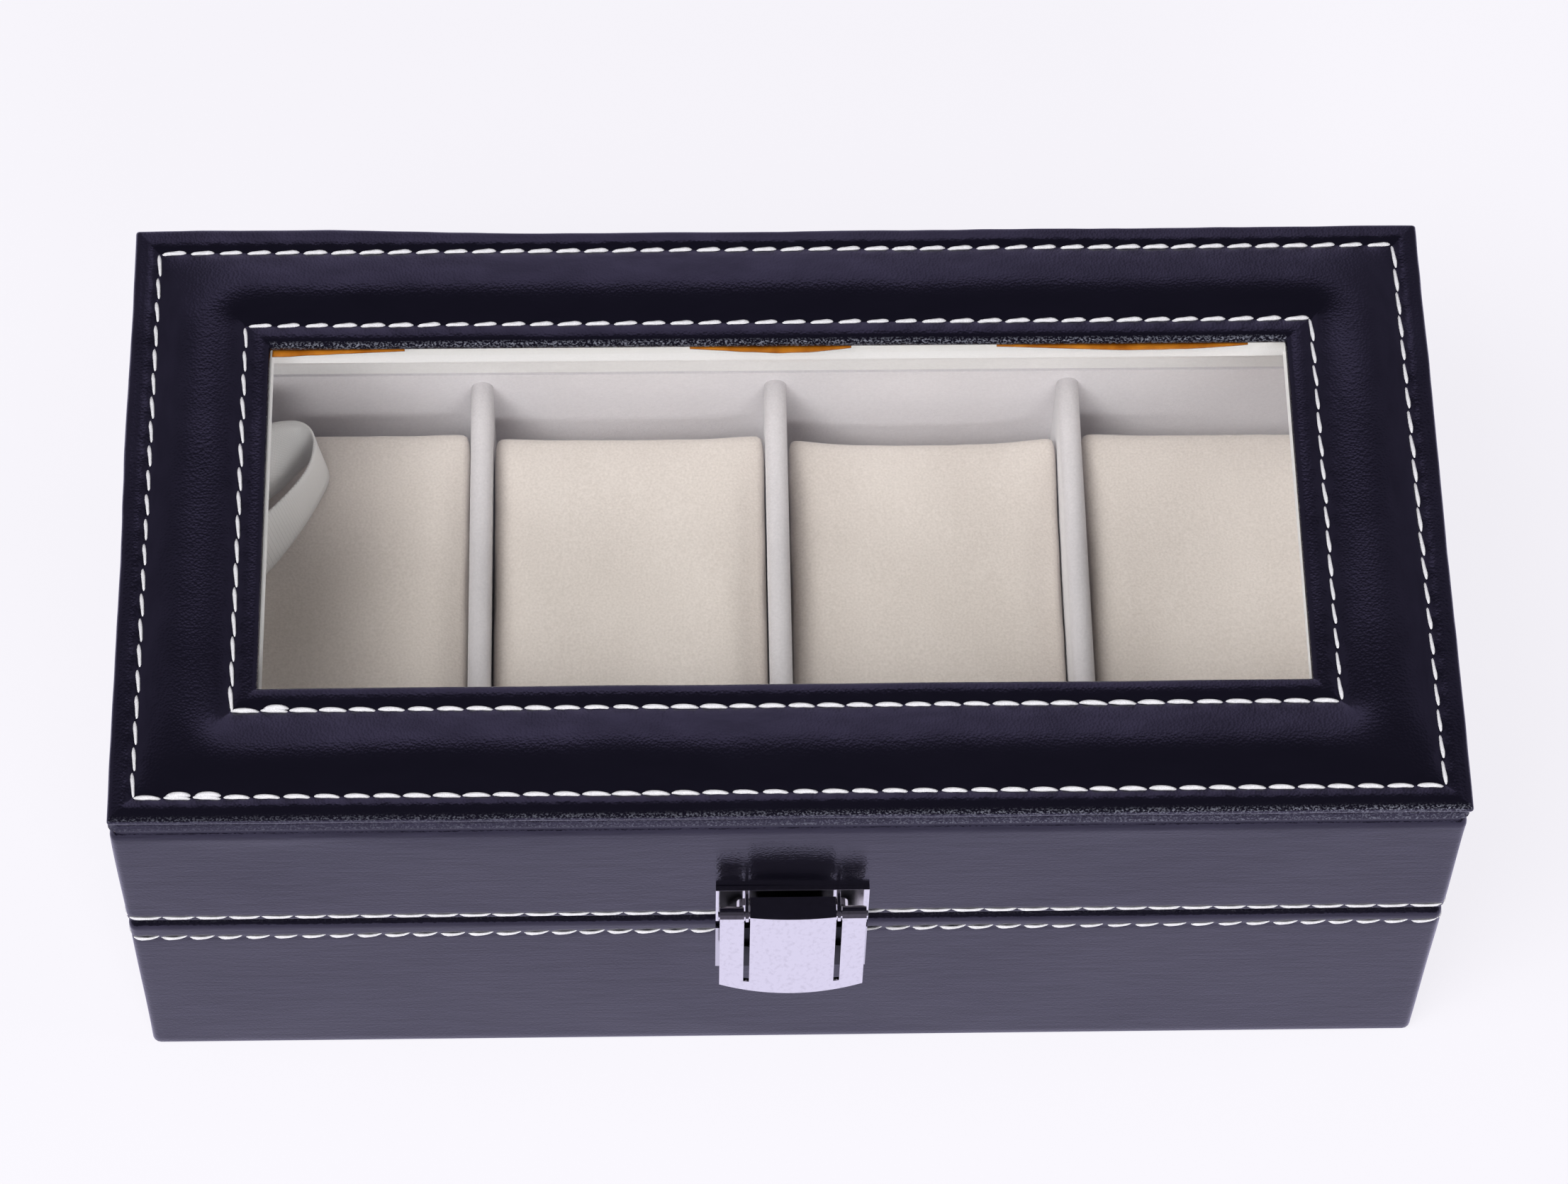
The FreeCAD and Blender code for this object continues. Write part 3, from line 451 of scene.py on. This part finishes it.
pillows = [pillow_body(number) for number in (1, 2, 3, 4)]
resting = [[vert.co.copy() for vert in pillow.data.vertices] for pillow in pillows]
blown = puffed(pillows)
for number, (pillow, before, after, shape) in enumerate(zip(pillows, resting, blown, pillow_tops), 1):
    top, sag, corner = [size * mm for size in shape]
    low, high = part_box(f"pillow_{number}_cover")
    middle, half = (low + high) / 2, (high - low) / 2
    rise = max(co.z for co in before) - low.z
    for vert, old, new in zip(pillow.data.vertices, before, after):
        move = new - old
        move.length = min(move.length, most_puff)
        co = old + move
        share_x, share_y = (co.x - middle.x) / half.x, (co.y - middle.y) / half.y
        upper = max(0.0, (co.z - middle.z) / half.z)
        co.z = low.z + max(0.0, co.z - low.z) * (top - low.z) / rise
        bowl = (1 - min(1.0, share_x ** 2)) * (1 - min(1.0, share_y ** 2))
        stand = min(1.0, abs(share_x)) ** 3 * max(0.0, share_y) ** 4
        co.z += upper * (corner * stand - sag * bowl + lump_high * noise.noise(co / lump_long))
        co.x = middle.x + side_bulge * (co.x - middle.x)
        co.x = min(max(co.x, low.x - side_spill), high.x + side_spill)
        co.y -= rear_draw * max(0.0, 2 * share_y - 1) ** 2
        co.y = min(max(co.y, low.y - end_spill), high.y + end_spill)
        vert.co = co
    finer = pillow.modifiers.new("finer", "SUBSURF")
    finer.levels = finer.render_levels = 1
    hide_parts(f"pillow_{number}_cover", f"pillow_{number}_core")
    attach(pillow, f"pillow_{number}")


# Lid cover: the same leatherette round the lid's rails, folded over the rim below and
# over the top's round edge above, where the padded panel hides its glued border.
lid_rim, lid_top, lid_round = 42.9 * mm, 74.2 * mm, 1.0 * mm
lid_seam, lid_pitch = 44.3 * mm, 4.95 * mm
shoulder_low, shoulder_round, shoulder_turn = 69.3 * mm, 3.0 * mm, 38
bead_low, bead_in, bead_round, bead_turn = 72.5 * mm, 1.92 * mm, 1.2 * mm, 38
wear_glint_height, wear_glint_front = 72.7 * mm, 2 * mm
lid_profile = [(rim_reach, lid_rim), (2.6 * mm, lid_rim)]
lid_profile += fold((lid_round, lid_rim + lid_round), lid_round, -90, 0, 5)
lid_profile += [(0.0, z) for z in climb(lid_rim, shoulder_low - mm, lid_seam) if z > lid_rim + 1.05 * mm]
lid_profile += fold((shoulder_round, shoulder_low), shoulder_round, 0, shoulder_turn, 6)
lid_profile += [(0.05 * mm, bead_low - 0.15 * mm), (0.0, bead_low)]
lid_profile += fold((bead_in, lid_top - bead_round), bead_round, bead_turn, 90, 6)
lid_profile += [(5 * mm, lid_top), (turn_in, lid_top), (turn_in, lid_top - leather_thick),
                (leather_thick, lid_top - leather_thick), (leather_thick, lid_rim + leather_thick),
                (rim_reach, lid_rim + leather_thick)]
lid_shell = wrapped(box_x, box_y, cover_corner, cover_step, lid_profile)
settle_walls(lid_shell, lid_seam, 0.0, lid_pitch, lid_rim + lid_round, shoulder_low)
lid_cover = shown("lid_cover", lid_shell, black_leather)


def rightward_strength(share):
    """How strong the marks on a front edge are, from its left end, where share is -1, to its right end at 1.
    """
    return 0.65 + 0.35 * share


def lid_wear_and_glints(co):
    """Wear and painted highlight on the front edge of the lid's top."""
    return rightward_strength(co.x / box_x) * wear_glint_line(co.z - wear_glint_height) if co.y < wear_glint_front - box_y else 0.0


mark_wear_and_glints(lid_cover, lid_wear_and_glints)
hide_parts("lid_leather")
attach(lid_cover, "lid")

lid_row = bmesh.new()
sew_walls(lid_row, full_stitch, lid_seam, 0.0, lid_pitch, long=4.9 * mm, thick=0.52 * mm, hang=0.5 * mm)
lid_stitches = shown("lid_stitches", lid_row, white_thread)
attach(lid_stitches, "lid")


# Lid lining: cream velvet on card inside the rails, and a ceiling sheet that also turns
# up round the window's board edge to the glass.
cream_velvet = napped("cream_velvet", (0.86, 0.845, 0.835), (0.93, 0.92, 0.91), 0.5, 0.2)
dress(cream_velvet, *[f"lid_{wall}_lining" for wall in walls], "lid_ceiling_lining")


# Window: a sheet of clear 2 mm glass that lies in the top board's seat, with the panel
# on its border. Amber glue has squeezed out along the rear edge in three places.
window_x, window_y = 78.3 * mm, 30.05 * mm
glue_half, glue_tuck, glue_cuts = 0.12 * mm, 0.5 * mm, 60
# Left end, right end and width of each run of glue; the first starts in the window's corner
glue_runs = ((-78.4, -58.0, 0.95), (-14.0, 11.0, 0.9), (33.5, 72.5, 0.85))


def share_surface(finish, share, other):
    """Let another shader take the given share of a finish's surface."""
    own = finish.node_tree.nodes["Principled BSDF"].outputs["BSDF"]
    mixed = add_node(finish, "MixShader", {"Fac": share, 1: own, 2: other}).outputs["Shader"]
    finish.node_tree.links.new(mixed, finish.node_tree.nodes["Material Output"].inputs["Surface"])


window_glass = new_finish("window_glass", Base_Color=(1.0, 1.0, 1.0, 1.0), Roughness=0.0, IOR=1.5,
                          Transmission_Weight=1.0)
rays = add_node(window_glass, "LightPath", {}).outputs
lets_light = calculate(window_glass, "MAXIMUM", rays["Is Shadow Ray"], rays["Is Diffuse Ray"])
share_surface(window_glass, lets_light, add_node(window_glass, "BsdfTransparent", {}).outputs["BSDF"])
dress(window_glass, "window_glass")

amber_glue = new_finish("amber_glue", Roughness=0.25)
paint(amber_glue, cloud(amber_glue, 3 * mm), 0.3, 0.7, (0.22, 0.06, 0.003), (0.42, 0.15, 0.012))
glue = bmesh.new()
for run in glue_runs:
    left, right, wide = [size * mm for size in run]
    lie = Matrix.Translation(((left + right) / 2, window_y, lid_top + glue_half))
    lie = lie @ Matrix.Diagonal(((right - left) / 2, wide, glue_half, 1.0))
    first = len(glue.verts)
    bmesh.ops.create_cube(glue, size=2.0, matrix=lie)
    glue.verts.ensure_lookup_table()
    long_sides = [e for e in glue.edges if e.verts[0].index >= first and e.calc_length() > 5 * mm]
    bmesh.ops.subdivide_edges(glue, edges=long_sides, cuts=glue_cuts)
    glue.verts.ensure_lookup_table()
    for vert in glue.verts[first:]:
        if vert.co.y < window_y:
            share = max(0.0, (vert.co.x - left) / (right - left))
            lens = 1.0 - share if left < -window_x else math.sin(math.pi * share ** 1.3)
            ragged = 1.0 + 0.2 * noise.noise(vert.co / (4 * mm))
            vert.co.y = window_y + glue_tuck - wide * max(0.0, lens) * ragged
window_glue = shown("window_glue", glue, amber_glue)
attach(window_glue, "lid")


# Padded panel: soft leather over foam and card, turned under all round and glued to the
# lid's top. Two seams of white thread hold the padding between them in a roll.
panel_x, panel_y = 100.2 * mm, 51.95 * mm
panel_corner, panel_step = 0.4 * mm, 0.75 * mm
panel_wide, panel_edge, panel_crown = 21.9 * mm, 1.7 * mm, 0.9 * mm
outer_seam, inner_seam, panel_pitch = 3.95 * mm, 18.0 * mm, 4.35 * mm
seam_deep, seam_half, corner_soft = 0.26 * mm, 0.85 * mm, 9 * mm
low_start, low_outer, low_inner = 1.2 * mm, 0.12 * mm, 0.1 * mm
top_wave, edge_wave, edge_ripple = 0.12 * mm, 0.12 * mm, 0.04 * mm
hem, hem_thick, foam_top, foam_crown = 6 * mm, 0.5 * mm, 1.1 * mm, 0.6 * mm
drawn_left, drawn_back, drawn_askew = 0.3 * mm, 0.5 * mm, 0.65 * mm
rear_bulge, rear_hollow, left_hollow = 0.7 * mm, 0.35 * mm, 0.3 * mm
edge_wear_glint, lip_wear_glint = 0.3 * mm, 0.75 * mm
roll = panel_edge / 2


def panel_rise(co):
    """Height of the padding under a point: a roll between the seams, and low rolls beside them."""
    side_x, side_y = panel_x - abs(co.x), panel_y - abs(co.y)
    inset = min(side_x, side_y)
    if inset < outer_seam:
        return low_outer * math.sin(math.pi * max(0.0, inset - low_start) / (outer_seam - low_start))
    if inset > inner_seam:
        return low_inner * math.sin(math.pi * (inset - inner_seam) / (panel_wide - inner_seam))
    turn = max(0.0, 1.0 - abs(side_x - side_y) / corner_soft)
    from_outer = max(0.0, inset - corner_soft / 4 * turn ** 2 - outer_seam)
    from_inner = math.hypot(max(0.0, inner_seam - side_x), max(0.0, inner_seam - side_y))
    share = from_outer / max(from_outer + from_inner, 0.01 * mm)
    return panel_crown * math.sin(math.pi * share)


def from_edge(co):
    """A point's distance from the panel's outer edge, its place along that edge, and that side's length."""
    inset_x, inset_y = panel_x - abs(co.x), panel_y - abs(co.y)
    if inset_y < inset_x:
        return inset_y, co.x, panel_x - inset_y
    return inset_x, co.y, panel_y - inset_x


def clamped(share):
    """A share kept from 0 to 1."""
    return min(1.0, max(0.0, share))


def laid(co, inset):
    """How far the leather lies out of true: outer edges that bow, and a window drawn back, left and askew."""
    inner = clamped((inset - 6 * mm) / (panel_wide - 7 * mm))
    lip = max(0.0, (inset - inner_seam) / (panel_wide - inner_seam))
    askew = drawn_askew * max(0.0, co.x / panel_x) * clamped(0.5 + co.y / (60 * mm)) * (1.0 - 0.65 * lip)
    drawn = Vector((askew - drawn_left, drawn_back, 0.0)) * inner
    outer = max(0.0, 1 - inset / (3.2 * mm))
    if co.y > panel_y - 8 * mm:
        bulge = rear_bulge * clamped((-co.x - 45 * mm) / (25 * mm))
        drawn.y += outer * (bulge - rear_hollow * math.exp(-((co.x + 10 * mm) / (35 * mm)) ** 2))
    if co.x < 8 * mm - panel_x:
        drawn.x += outer * left_hollow * clamped((12 * mm - co.y) / (24 * mm))
    return drawn


seam_near = [n * 0.3 * mm for n in range(-3, 4)]
panel_insets = [low_start, 1.8 * mm, 2.5 * mm] + [outer_seam + n for n in seam_near]
panel_insets += [5.4 * mm + n * 0.85 * mm for n in range(14)] + [inner_seam + n for n in seam_near]
panel_insets += [19.6 * mm, 20.3 * mm]
edge_turn = fold((roll, roll), roll, -90, 90, 8)
panel_profile = [(hem, 0.0)] + edge_turn
panel_profile += [(inset, panel_edge) for inset in panel_insets]
panel_profile += [(panel_wide - inset, rise) for inset, rise in reversed(edge_turn)]
panel_profile += [(panel_wide - hem, 0.0), (panel_wide - hem, hem_thick), (panel_wide - roll, hem_thick),
                  (panel_wide - roll, foam_top), (inner_seam, foam_top), (14 * mm, foam_top + foam_crown),
                  (8 * mm, foam_top + foam_crown), (outer_seam, foam_top), (roll, foam_top),
                  (roll, hem_thick), (hem, hem_thick)]
panel_profile = [(inset, lid_top + rise) for inset, rise in panel_profile]
panel_shell = wrapped(panel_x, panel_y, panel_corner, panel_step, panel_profile)
for vert in panel_shell.verts:
    inset, along, side = from_edge(vert.co)
    if vert.normal.z > 0.2:
        sink = 0.0
        for seam in (outer_seam, inner_seam):
            reach = side + inset - seam
            pitch = 2 * reach / round(2 * reach / panel_pitch)
            hole = 0.68 + 0.32 * math.cos(2 * math.pi * (along + reach) / pitch)
            sink += seam_deep * hole * math.exp(-((inset - seam) / seam_half) ** 2)
        vert.co.z += panel_rise(vert.co) + top_wave * swell(vert.co, 17 * mm) - sink
    if inset < roll:
        wave = edge_wave * swell(vert.co, 24 * mm) + edge_ripple * swell(vert.co, 5 * mm)
        vert.co.x += wave if abs(vert.co.x) > panel_x - roll else 0.0
        vert.co.y += wave if abs(vert.co.y) > panel_y - roll else 0.0
    vert.co += laid(vert.co, inset)
padded_panel = shown("padded_panel", panel_shell, black_leather)


def panel_wear_and_glints(co):
    """Wear and painted highlights on the edges that face the front: the panel's own and the window's rear
    lip.
    """
    if co.y < wear_glint_front - panel_y:
        return rightward_strength(co.x / panel_x) * wear_glint_line(co.y + panel_y - edge_wear_glint)
    return wear_glint_line(co.y - window_y - lip_wear_glint) if abs(co.x) < window_x else 0.0


mark_wear_and_glints(padded_panel, panel_wear_and_glints)
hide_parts("panel_leather")
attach(padded_panel, "lid")

# Lean, thickness and length of the stitches along the front, right, rear and left
panel_hands = ((-0.05, 0.80, 4.25), (0.08, 0.64, 4.3), (0.08, 0.76, 4.0), (0.10, 0.64, 4.3))
panel_dip, panel_sink, flat_up = 0.5, 0.06 * mm, Vector((0.0, 0.0, 1.0))
tack_long, tack_thick, tack_lean = 3.9 * mm, 0.95 * mm, 0.04
tack_place = Vector((1.05 * panel_pitch, 0.4 * mm, 0.12 * mm))
for name, seam, tacks in (("outer_panel_stitches", outer_seam, 2), ("inner_panel_stitches", inner_seam, 1)):
    row = bmesh.new()
    reach_x, reach_y = panel_x - seam, panel_y - seam
    height = lid_top + panel_edge - panel_sink
    corners = [Vector((x * reach_x, y * reach_y, height)) for x, y in ((-1, -1), (1, -1), (1, 1), (-1, 1))]
    corners = [corner + laid(corner, seam) for corner in corners]
    for start, end, (lean, thick, long) in zip(corners, corners[1:] + corners[:1], panel_hands):
        sew(row, full_stitch, start, end, flat_up, panel_pitch, long * mm, thick * mm,
            lean=lean, dip=panel_dip)
    start = corners[0] + tack_place
    end = start + Vector((tacks * panel_pitch, 0.0, 0.0))
    sew(row, full_stitch, start, end, flat_up, panel_pitch, tack_long, tack_thick,
        lean=tack_lean, dip=panel_dip)
    stitches = shown(name, row, white_thread)
    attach(stitches, "lid")

grey_card = new_finish("grey_card", Roughness=0.9)
paint(grey_card, cloud(grey_card, 0.6 * mm), 0.3, 0.7, (0.2, 0.2, 0.19), (0.3, 0.3, 0.29))
dress(grey_card, "panel_card")
soft_foam = new_finish("soft_foam", Roughness=0.95)
paint(soft_foam, cloud(soft_foam, 0.4 * mm), 0.35, 0.65, (0.5, 0.46, 0.3), (0.75, 0.7, 0.5))
dress(soft_foam, "panel_foam")


# Hinges: two small butt hinges on the rear walls, of chromed steel sheet rolled into
# knuckles round a pin, each leaf held by two screws.
hinge_edge = 0.12 * mm
chrome_plate = new_finish("chrome_plate", Metallic=1.0, IOR=2.5)
scuffs = cloud(chrome_plate, 0.7 * mm, (1.0, 1.0, 1.6), 6.0)
paint(chrome_plate, scuffs, 0.28, 0.5, (0.79, 0.775, 0.75), (0.91, 0.895, 0.865))
feed(chrome_plate, "Roughness", spread(chrome_plate, scuffs, 0.3, 0.7, 0.06, 0.11))


def rounded_copy(node, name, body, edge, finish=chrome_plate):
    """A metal node's copy with its sharp edges rounded, as stamped and plated sheet has them."""
    bm = bmesh.new()
    bm.from_mesh(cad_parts[node].data)
    bmesh.ops.remove_doubles(bm, verts=bm.verts[:], dist=0.002 * mm)
    bmesh.ops.dissolve_limit(bm, angle_limit=math.radians(1.0), verts=bm.verts[:], edges=bm.edges[:])
    sharp = [e for e in bm.edges if len(e.link_faces) == 2 and e.calc_face_angle() > math.radians(35)]
    bmesh.ops.bevel(bm, geom=sharp, offset=edge, offset_type="OFFSET", segments=2, profile=0.5,
                    affect="EDGES", clamp_overlap=True, material=-1)
    piece = shown(name, bm, finish)
    even = piece.modifiers.new("even", "WEIGHTED_NORMAL")
    even.keep_sharp = True
    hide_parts(node)
    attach(piece, body)


for side in ("left", "right"):
    rounded_copy(f"hinge_{side}_base_leaf", f"{side}_hinge_base", "base", hinge_edge)
    rounded_copy(f"hinge_{side}_lid_leaf", f"{side}_hinge_lid", "lid", hinge_edge)
    rounded_copy(f"hinge_{side}_pin", f"{side}_hinge_rod", "base", hinge_edge)
dress(chrome_plate, "hinge_base_screws", "hinge_lid_screws")


# Clasp: a bracket with two ears on the lid, a pin through them, and a bowed flap of spring
# steel whose slit-out tongue snaps over the catch on the base. All of it is chromed; the catch's
# middle, behind the flap, is painted dark as painted shade, and its screws carry that painted shade too.
rounded_copy("clasp_bracket", "clasp_ears", "lid", 0.1 * mm)
rounded_copy("clasp_pin", "clasp_rod", "lid", 0.1 * mm)
rounded_copy("clasp_flap", "clasp_plate", "clasp_flap", 0.14 * mm)
dark_reach, bright_reach = 9.2 * mm, 10.2 * mm
# Painted shade: the catch's chrome is dark between its ends, where the flap shades it, and bright only at its
# ends.
catch_chrome_painted_shade = new_finish("catch_chrome_painted_shade", Metallic=1.0)
keeper_place = add_node(catch_chrome_painted_shade, "TexCoord", {}).outputs["Object"]
keeper_x = add_node(catch_chrome_painted_shade, "SeparateXYZ", {"Vector": keeper_place}).outputs["X"]
keeper_side = calculate(catch_chrome_painted_shade, "ABSOLUTE", keeper_x)
unshaded_share = spread(catch_chrome_painted_shade, keeper_side, dark_reach, bright_reach, 0.0, 1.0)
paint(catch_chrome_painted_shade, unshaded_share, 0.0, 1.0, (0.028, 0.028, 0.032), (0.70, 0.69, 0.68))
feed(catch_chrome_painted_shade, "Roughness", spread(catch_chrome_painted_shade, unshaded_share, 0.0, 1.0, 0.45, 0.12))
rounded_copy("clasp_catch", "clasp_keeper", "base", 0.12 * mm, catch_chrome_painted_shade)
dress(chrome_plate, "clasp_bracket_screws")
dress(catch_chrome_painted_shade, "clasp_catch_screws")


# Ribbon: a white satin ribbon that stays the open lid. One end is stuck to the base's
# left lining, the other to the lid's; with the lid down it curls out in a loop.
ribbon_wide, ribbon_long, ribbon_thick = 10.0 * mm, 66 * mm, 0.35 * mm
threads_across, threads_along = 26.0, 150.0
# Points of the ribbon's two edges, in millimetres from the base's end to the lid's
ribbon_upper = ((-94.4, 31.4, 42.2), (-88.0, 33.4, 44.6), (-82.5, 34.7, 45.8), (-78.3, 35.6, 46.2),
                (-75.5, 35.1, 46.3), (-73.8, 33.0, 46.2), (-73.7, 30.3, 46.0), (-74.2, 27.5, 46.0),
                (-75.8, 24.2, 45.9), (-80.0, 19.0, 46.0), (-87.0, 11.2, 46.6), (-94.4, 4.2, 47.4))
ribbon_lower = ((-94.4, 21.6, 38.8), (-87.0, 21.4, 39.8), (-81.5, 22.6, 41.0), (-77.8, 27.4, 41.0),
                (-75.1, 31.4, 40.2), (-72.4, 32.4, 38.6), (-71.7, 29.6, 38.0), (-72.4, 27.6, 37.9),
                (-73.9, 24.1, 37.8), (-77.5, 17.0, 37.9), (-84.0, 7.5, 38.6), (-94.4, -4.0, 40.0))


def edge_line(points):
    """A smooth line through the space of a few points, as a mesh."""
    line = bpy.data.curves.new("ribbon_edge", "CURVE")
    line.dimensions = "3D"
    spline = line.splines.new("NURBS")
    spline.points.add(len(points) - 1)
    for point, place in zip(spline.points, points):
        point.co = (*(Vector(place) * mm), 1.0)
    spline.order_u = 4
    spline.use_endpoint_u = True
    spline.resolution_u = 8
    guide = bpy.data.objects.new("ribbon_edge", line)
    bpy.context.scene.collection.objects.link(guide)
    mesh = taken(guide)
    bpy.data.objects.remove(guide)
    return mesh


band = bmesh.new()
band.from_mesh(edge_line(ribbon_upper))
upper_count = len(band.verts)
band.from_mesh(edge_line(ribbon_lower))
band.verts.ensure_lookup_table()
weave_place = {vert: (float(n >= upper_count), n % upper_count) for n, vert in enumerate(band.verts)}
bmesh.ops.bridge_loops(band, edges=band.edges[:])
weave_map = band.loops.layers.uv.new("weave")
for face in band.faces:
    for corner in face.loops:
        across, along = weave_place[corner.vert]
        corner[weave_map].uv = (across, along / (upper_count - 1))
rungs = [e for e in band.edges if weave_place[e.verts[0]][0] != weave_place[e.verts[1]][0]]
bmesh.ops.subdivide_edges(band, edges=rungs, cuts=5, use_grid_fill=True)

satin_ribbon = new_finish("satin_ribbon", Roughness=0.3, Specular_IOR_Level=0.8, Sheen_Weight=0.3,
                          Anisotropic=0.5)
ribbon_place = add_node(satin_ribbon, "UVMap", {}, uv_map="weave").outputs["UV"]
cells = add_node(satin_ribbon, "Mapping", {
    "Vector": ribbon_place, "Scale": (threads_across, threads_along, 1.0)}).outputs["Vector"]
picks = add_node(satin_ribbon, "TexBrick", {
    "Vector": cells, "Scale": 1.0, "Mortar Size": 0.09, "Mortar Smooth": 0.8, "Brick Width": 1.0,
    "Row Height": 1.0}, offset=0.5).outputs["Fac"]
across_share = add_node(satin_ribbon, "SeparateXYZ", {"Vector": ribbon_place}).outputs["X"]
from_middle = calculate(satin_ribbon, "ABSOLUTE", calculate(satin_ribbon, "SUBTRACT", across_share, 0.5))
selvedge = spread(satin_ribbon, from_middle, 0.44, 0.46, 0.0, 1.0)
thread_height = calculate(satin_ribbon, "SUBTRACT", picks, selvedge)
paint(satin_ribbon, picks, 0.0, 1.0, (0.95, 0.94, 0.92), (0.80, 0.785, 0.765))
feed(satin_ribbon, "Normal", relief(satin_ribbon, thread_height, -0.05 * mm))
stay_band = shown("stay_band", band, satin_ribbon)
body = stay_band.modifiers.new("body", "SOLIDIFY")
body.thickness = ribbon_thick
body.offset = 0.0
thick_band = taken(stay_band)
stay_band.modifiers.clear()
stay_band.data = thick_band
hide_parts("stay_ribbon")
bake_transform(stay_band)


# Studio: a pale table that runs out of sight, soft light from the front and the sides, and
# white paper behind. The room is open and dark above, so that the black top stays black.
paper_white, table_mirrored, room_mirrored = (0.965, 0.945, 1.0), (0.75, 0.71, 1.0), (0.76, 0.69, 1.0)
table_glow, room_glow, room_dark = 0.85, 0.3, 0.06


def paper_rays(finish):
    """Whether a ray looks at the paper, straight or by glass or mirror, and whether by mirror alone."""
    rays = add_node(finish, "LightPath", {}).outputs
    seen = calculate(finish, "MAXIMUM", rays["Is Camera Ray"], rays["Is Glossy Ray"])
    seen = calculate(finish, "MAXIMUM", seen, rays["Is Transmission Ray"])
    return seen, calculate(finish, "SUBTRACT", rays["Is Glossy Ray"], rays["Is Transmission Ray"])


table_mesh = bmesh.new()
bmesh.ops.create_grid(table_mesh, x_segments=1, y_segments=1, size=3.0)
pale_table = new_finish("pale_table", Roughness=0.8)
paint(pale_table, cloud(pale_table, 400 * mm), 0.3, 0.7, (0.76, 0.75, 0.79), (0.80, 0.79, 0.83))
seen, mirrored = paper_rays(pale_table)
table_tint = tints(pale_table, mirrored, 0.0, 1.0, paper_white, table_mirrored)
glow = add_node(pale_table, "Emission", {"Color": table_tint, "Strength": 1.0}).outputs["Emission"]
share_surface(pale_table, calculate(pale_table, "MULTIPLY", seen, table_glow), glow)
table = shown("table", table_mesh, pale_table, smooth=False)


def soft_light(name, place, aim, size, power):
    """A square studio light at place that looks at aim; polished faces and glass don't mirror it."""
    lamp = bpy.data.lights.new(name, "AREA")
    lamp.shape = "SQUARE"
    lamp.size = size
    lamp.energy = power
    holder = bpy.data.objects.new(name, lamp)
    holder.location = place
    holder.rotation_euler = (Vector(aim) - Vector(place)).to_track_quat("-Z", "Y").to_euler()
    holder.visible_glossy = False
    holder.visible_transmission = False
    bpy.context.scene.collection.objects.link(holder)


soft_light("front_light", (-0.75, -0.85, 1.70), (0.0, 0.0, 0.05), size=1.0, power=36.0)
soft_light("low_light", (0.35, -1.4, 0.85), (0.0, 0.05, 0.06), size=0.6, power=13.0)
soft_light("left_light", (-1.2, -0.1, 0.9), (0.0, 0.0, 0.05), size=0.6, power=4.0)
soft_light("right_light", (1.2, -0.1, 0.9), (0.0, 0.0, 0.05), size=0.6, power=4.0)

# The room's paper is brightest straight behind the table, and fades upwards, sideways and to the front
room = bpy.data.worlds.new("room")
room.use_nodes = True
room_place = add_node(room, "TexCoord", {}).outputs["Generated"]
way = add_node(room, "SeparateXYZ", {"Vector": room_place}).outputs
up = spread(room, way["Z"], 0.82, 0.862, 0.94, 0.0)
back = spread(room, way["Y"], -0.1, -0.5, 1.0, 0.06)
beside = spread(room, calculate(room, "ABSOLUTE", way["X"]), 0.04, 0.22, 1.0, 0.25)
paper = calculate(room, "MULTIPLY_ADD", calculate(room, "MULTIPLY", up, back), beside, room_dark)
seen, mirrored = paper_rays(room)
strength = calculate(room, "MULTIPLY", paper, spread(room, seen, 0.0, 1.0, room_glow, 1.0))
room_tint = tints(room, mirrored, 0.0, 1.0, paper_white, room_mirrored)
background = room.node_tree.nodes["Background"]
room.node_tree.links.new(room_tint, background.inputs["Color"])
room.node_tree.links.new(strength, background.inputs["Strength"])
bpy.context.scene.world = room
bpy.context.scene.view_settings.view_transform = "Standard"

# The camera, from a fit to the box's edges: its focal length in pixels of the 2212 pixel wide frame
sensor_wide, focal_pixels, frame_pixels = 36.0, 7074.0, 2212.0
camera_place = (-0.0180, -0.3945, 0.7239)
look_down, look_tilt, look_left = math.radians(59.56), math.radians(1.78), math.radians(-2.66)
view = bpy.data.cameras.new("front_view")
view.sensor_width = sensor_wide
view.lens = sensor_wide * focal_pixels / frame_pixels
view.clip_start, view.clip_end = 0.05, 20.0
camera = bpy.data.objects.new("front_view", view)
bpy.context.scene.collection.objects.link(camera)
camera.matrix_world = (Matrix.Translation(camera_place) @ Matrix.Rotation(look_left, 4, "Z")
                       @ Matrix.Rotation(math.pi / 2 - look_down, 4, "X")
                       @ Matrix.Rotation(look_tilt, 4, "Z"))
bpy.context.scene.camera = camera
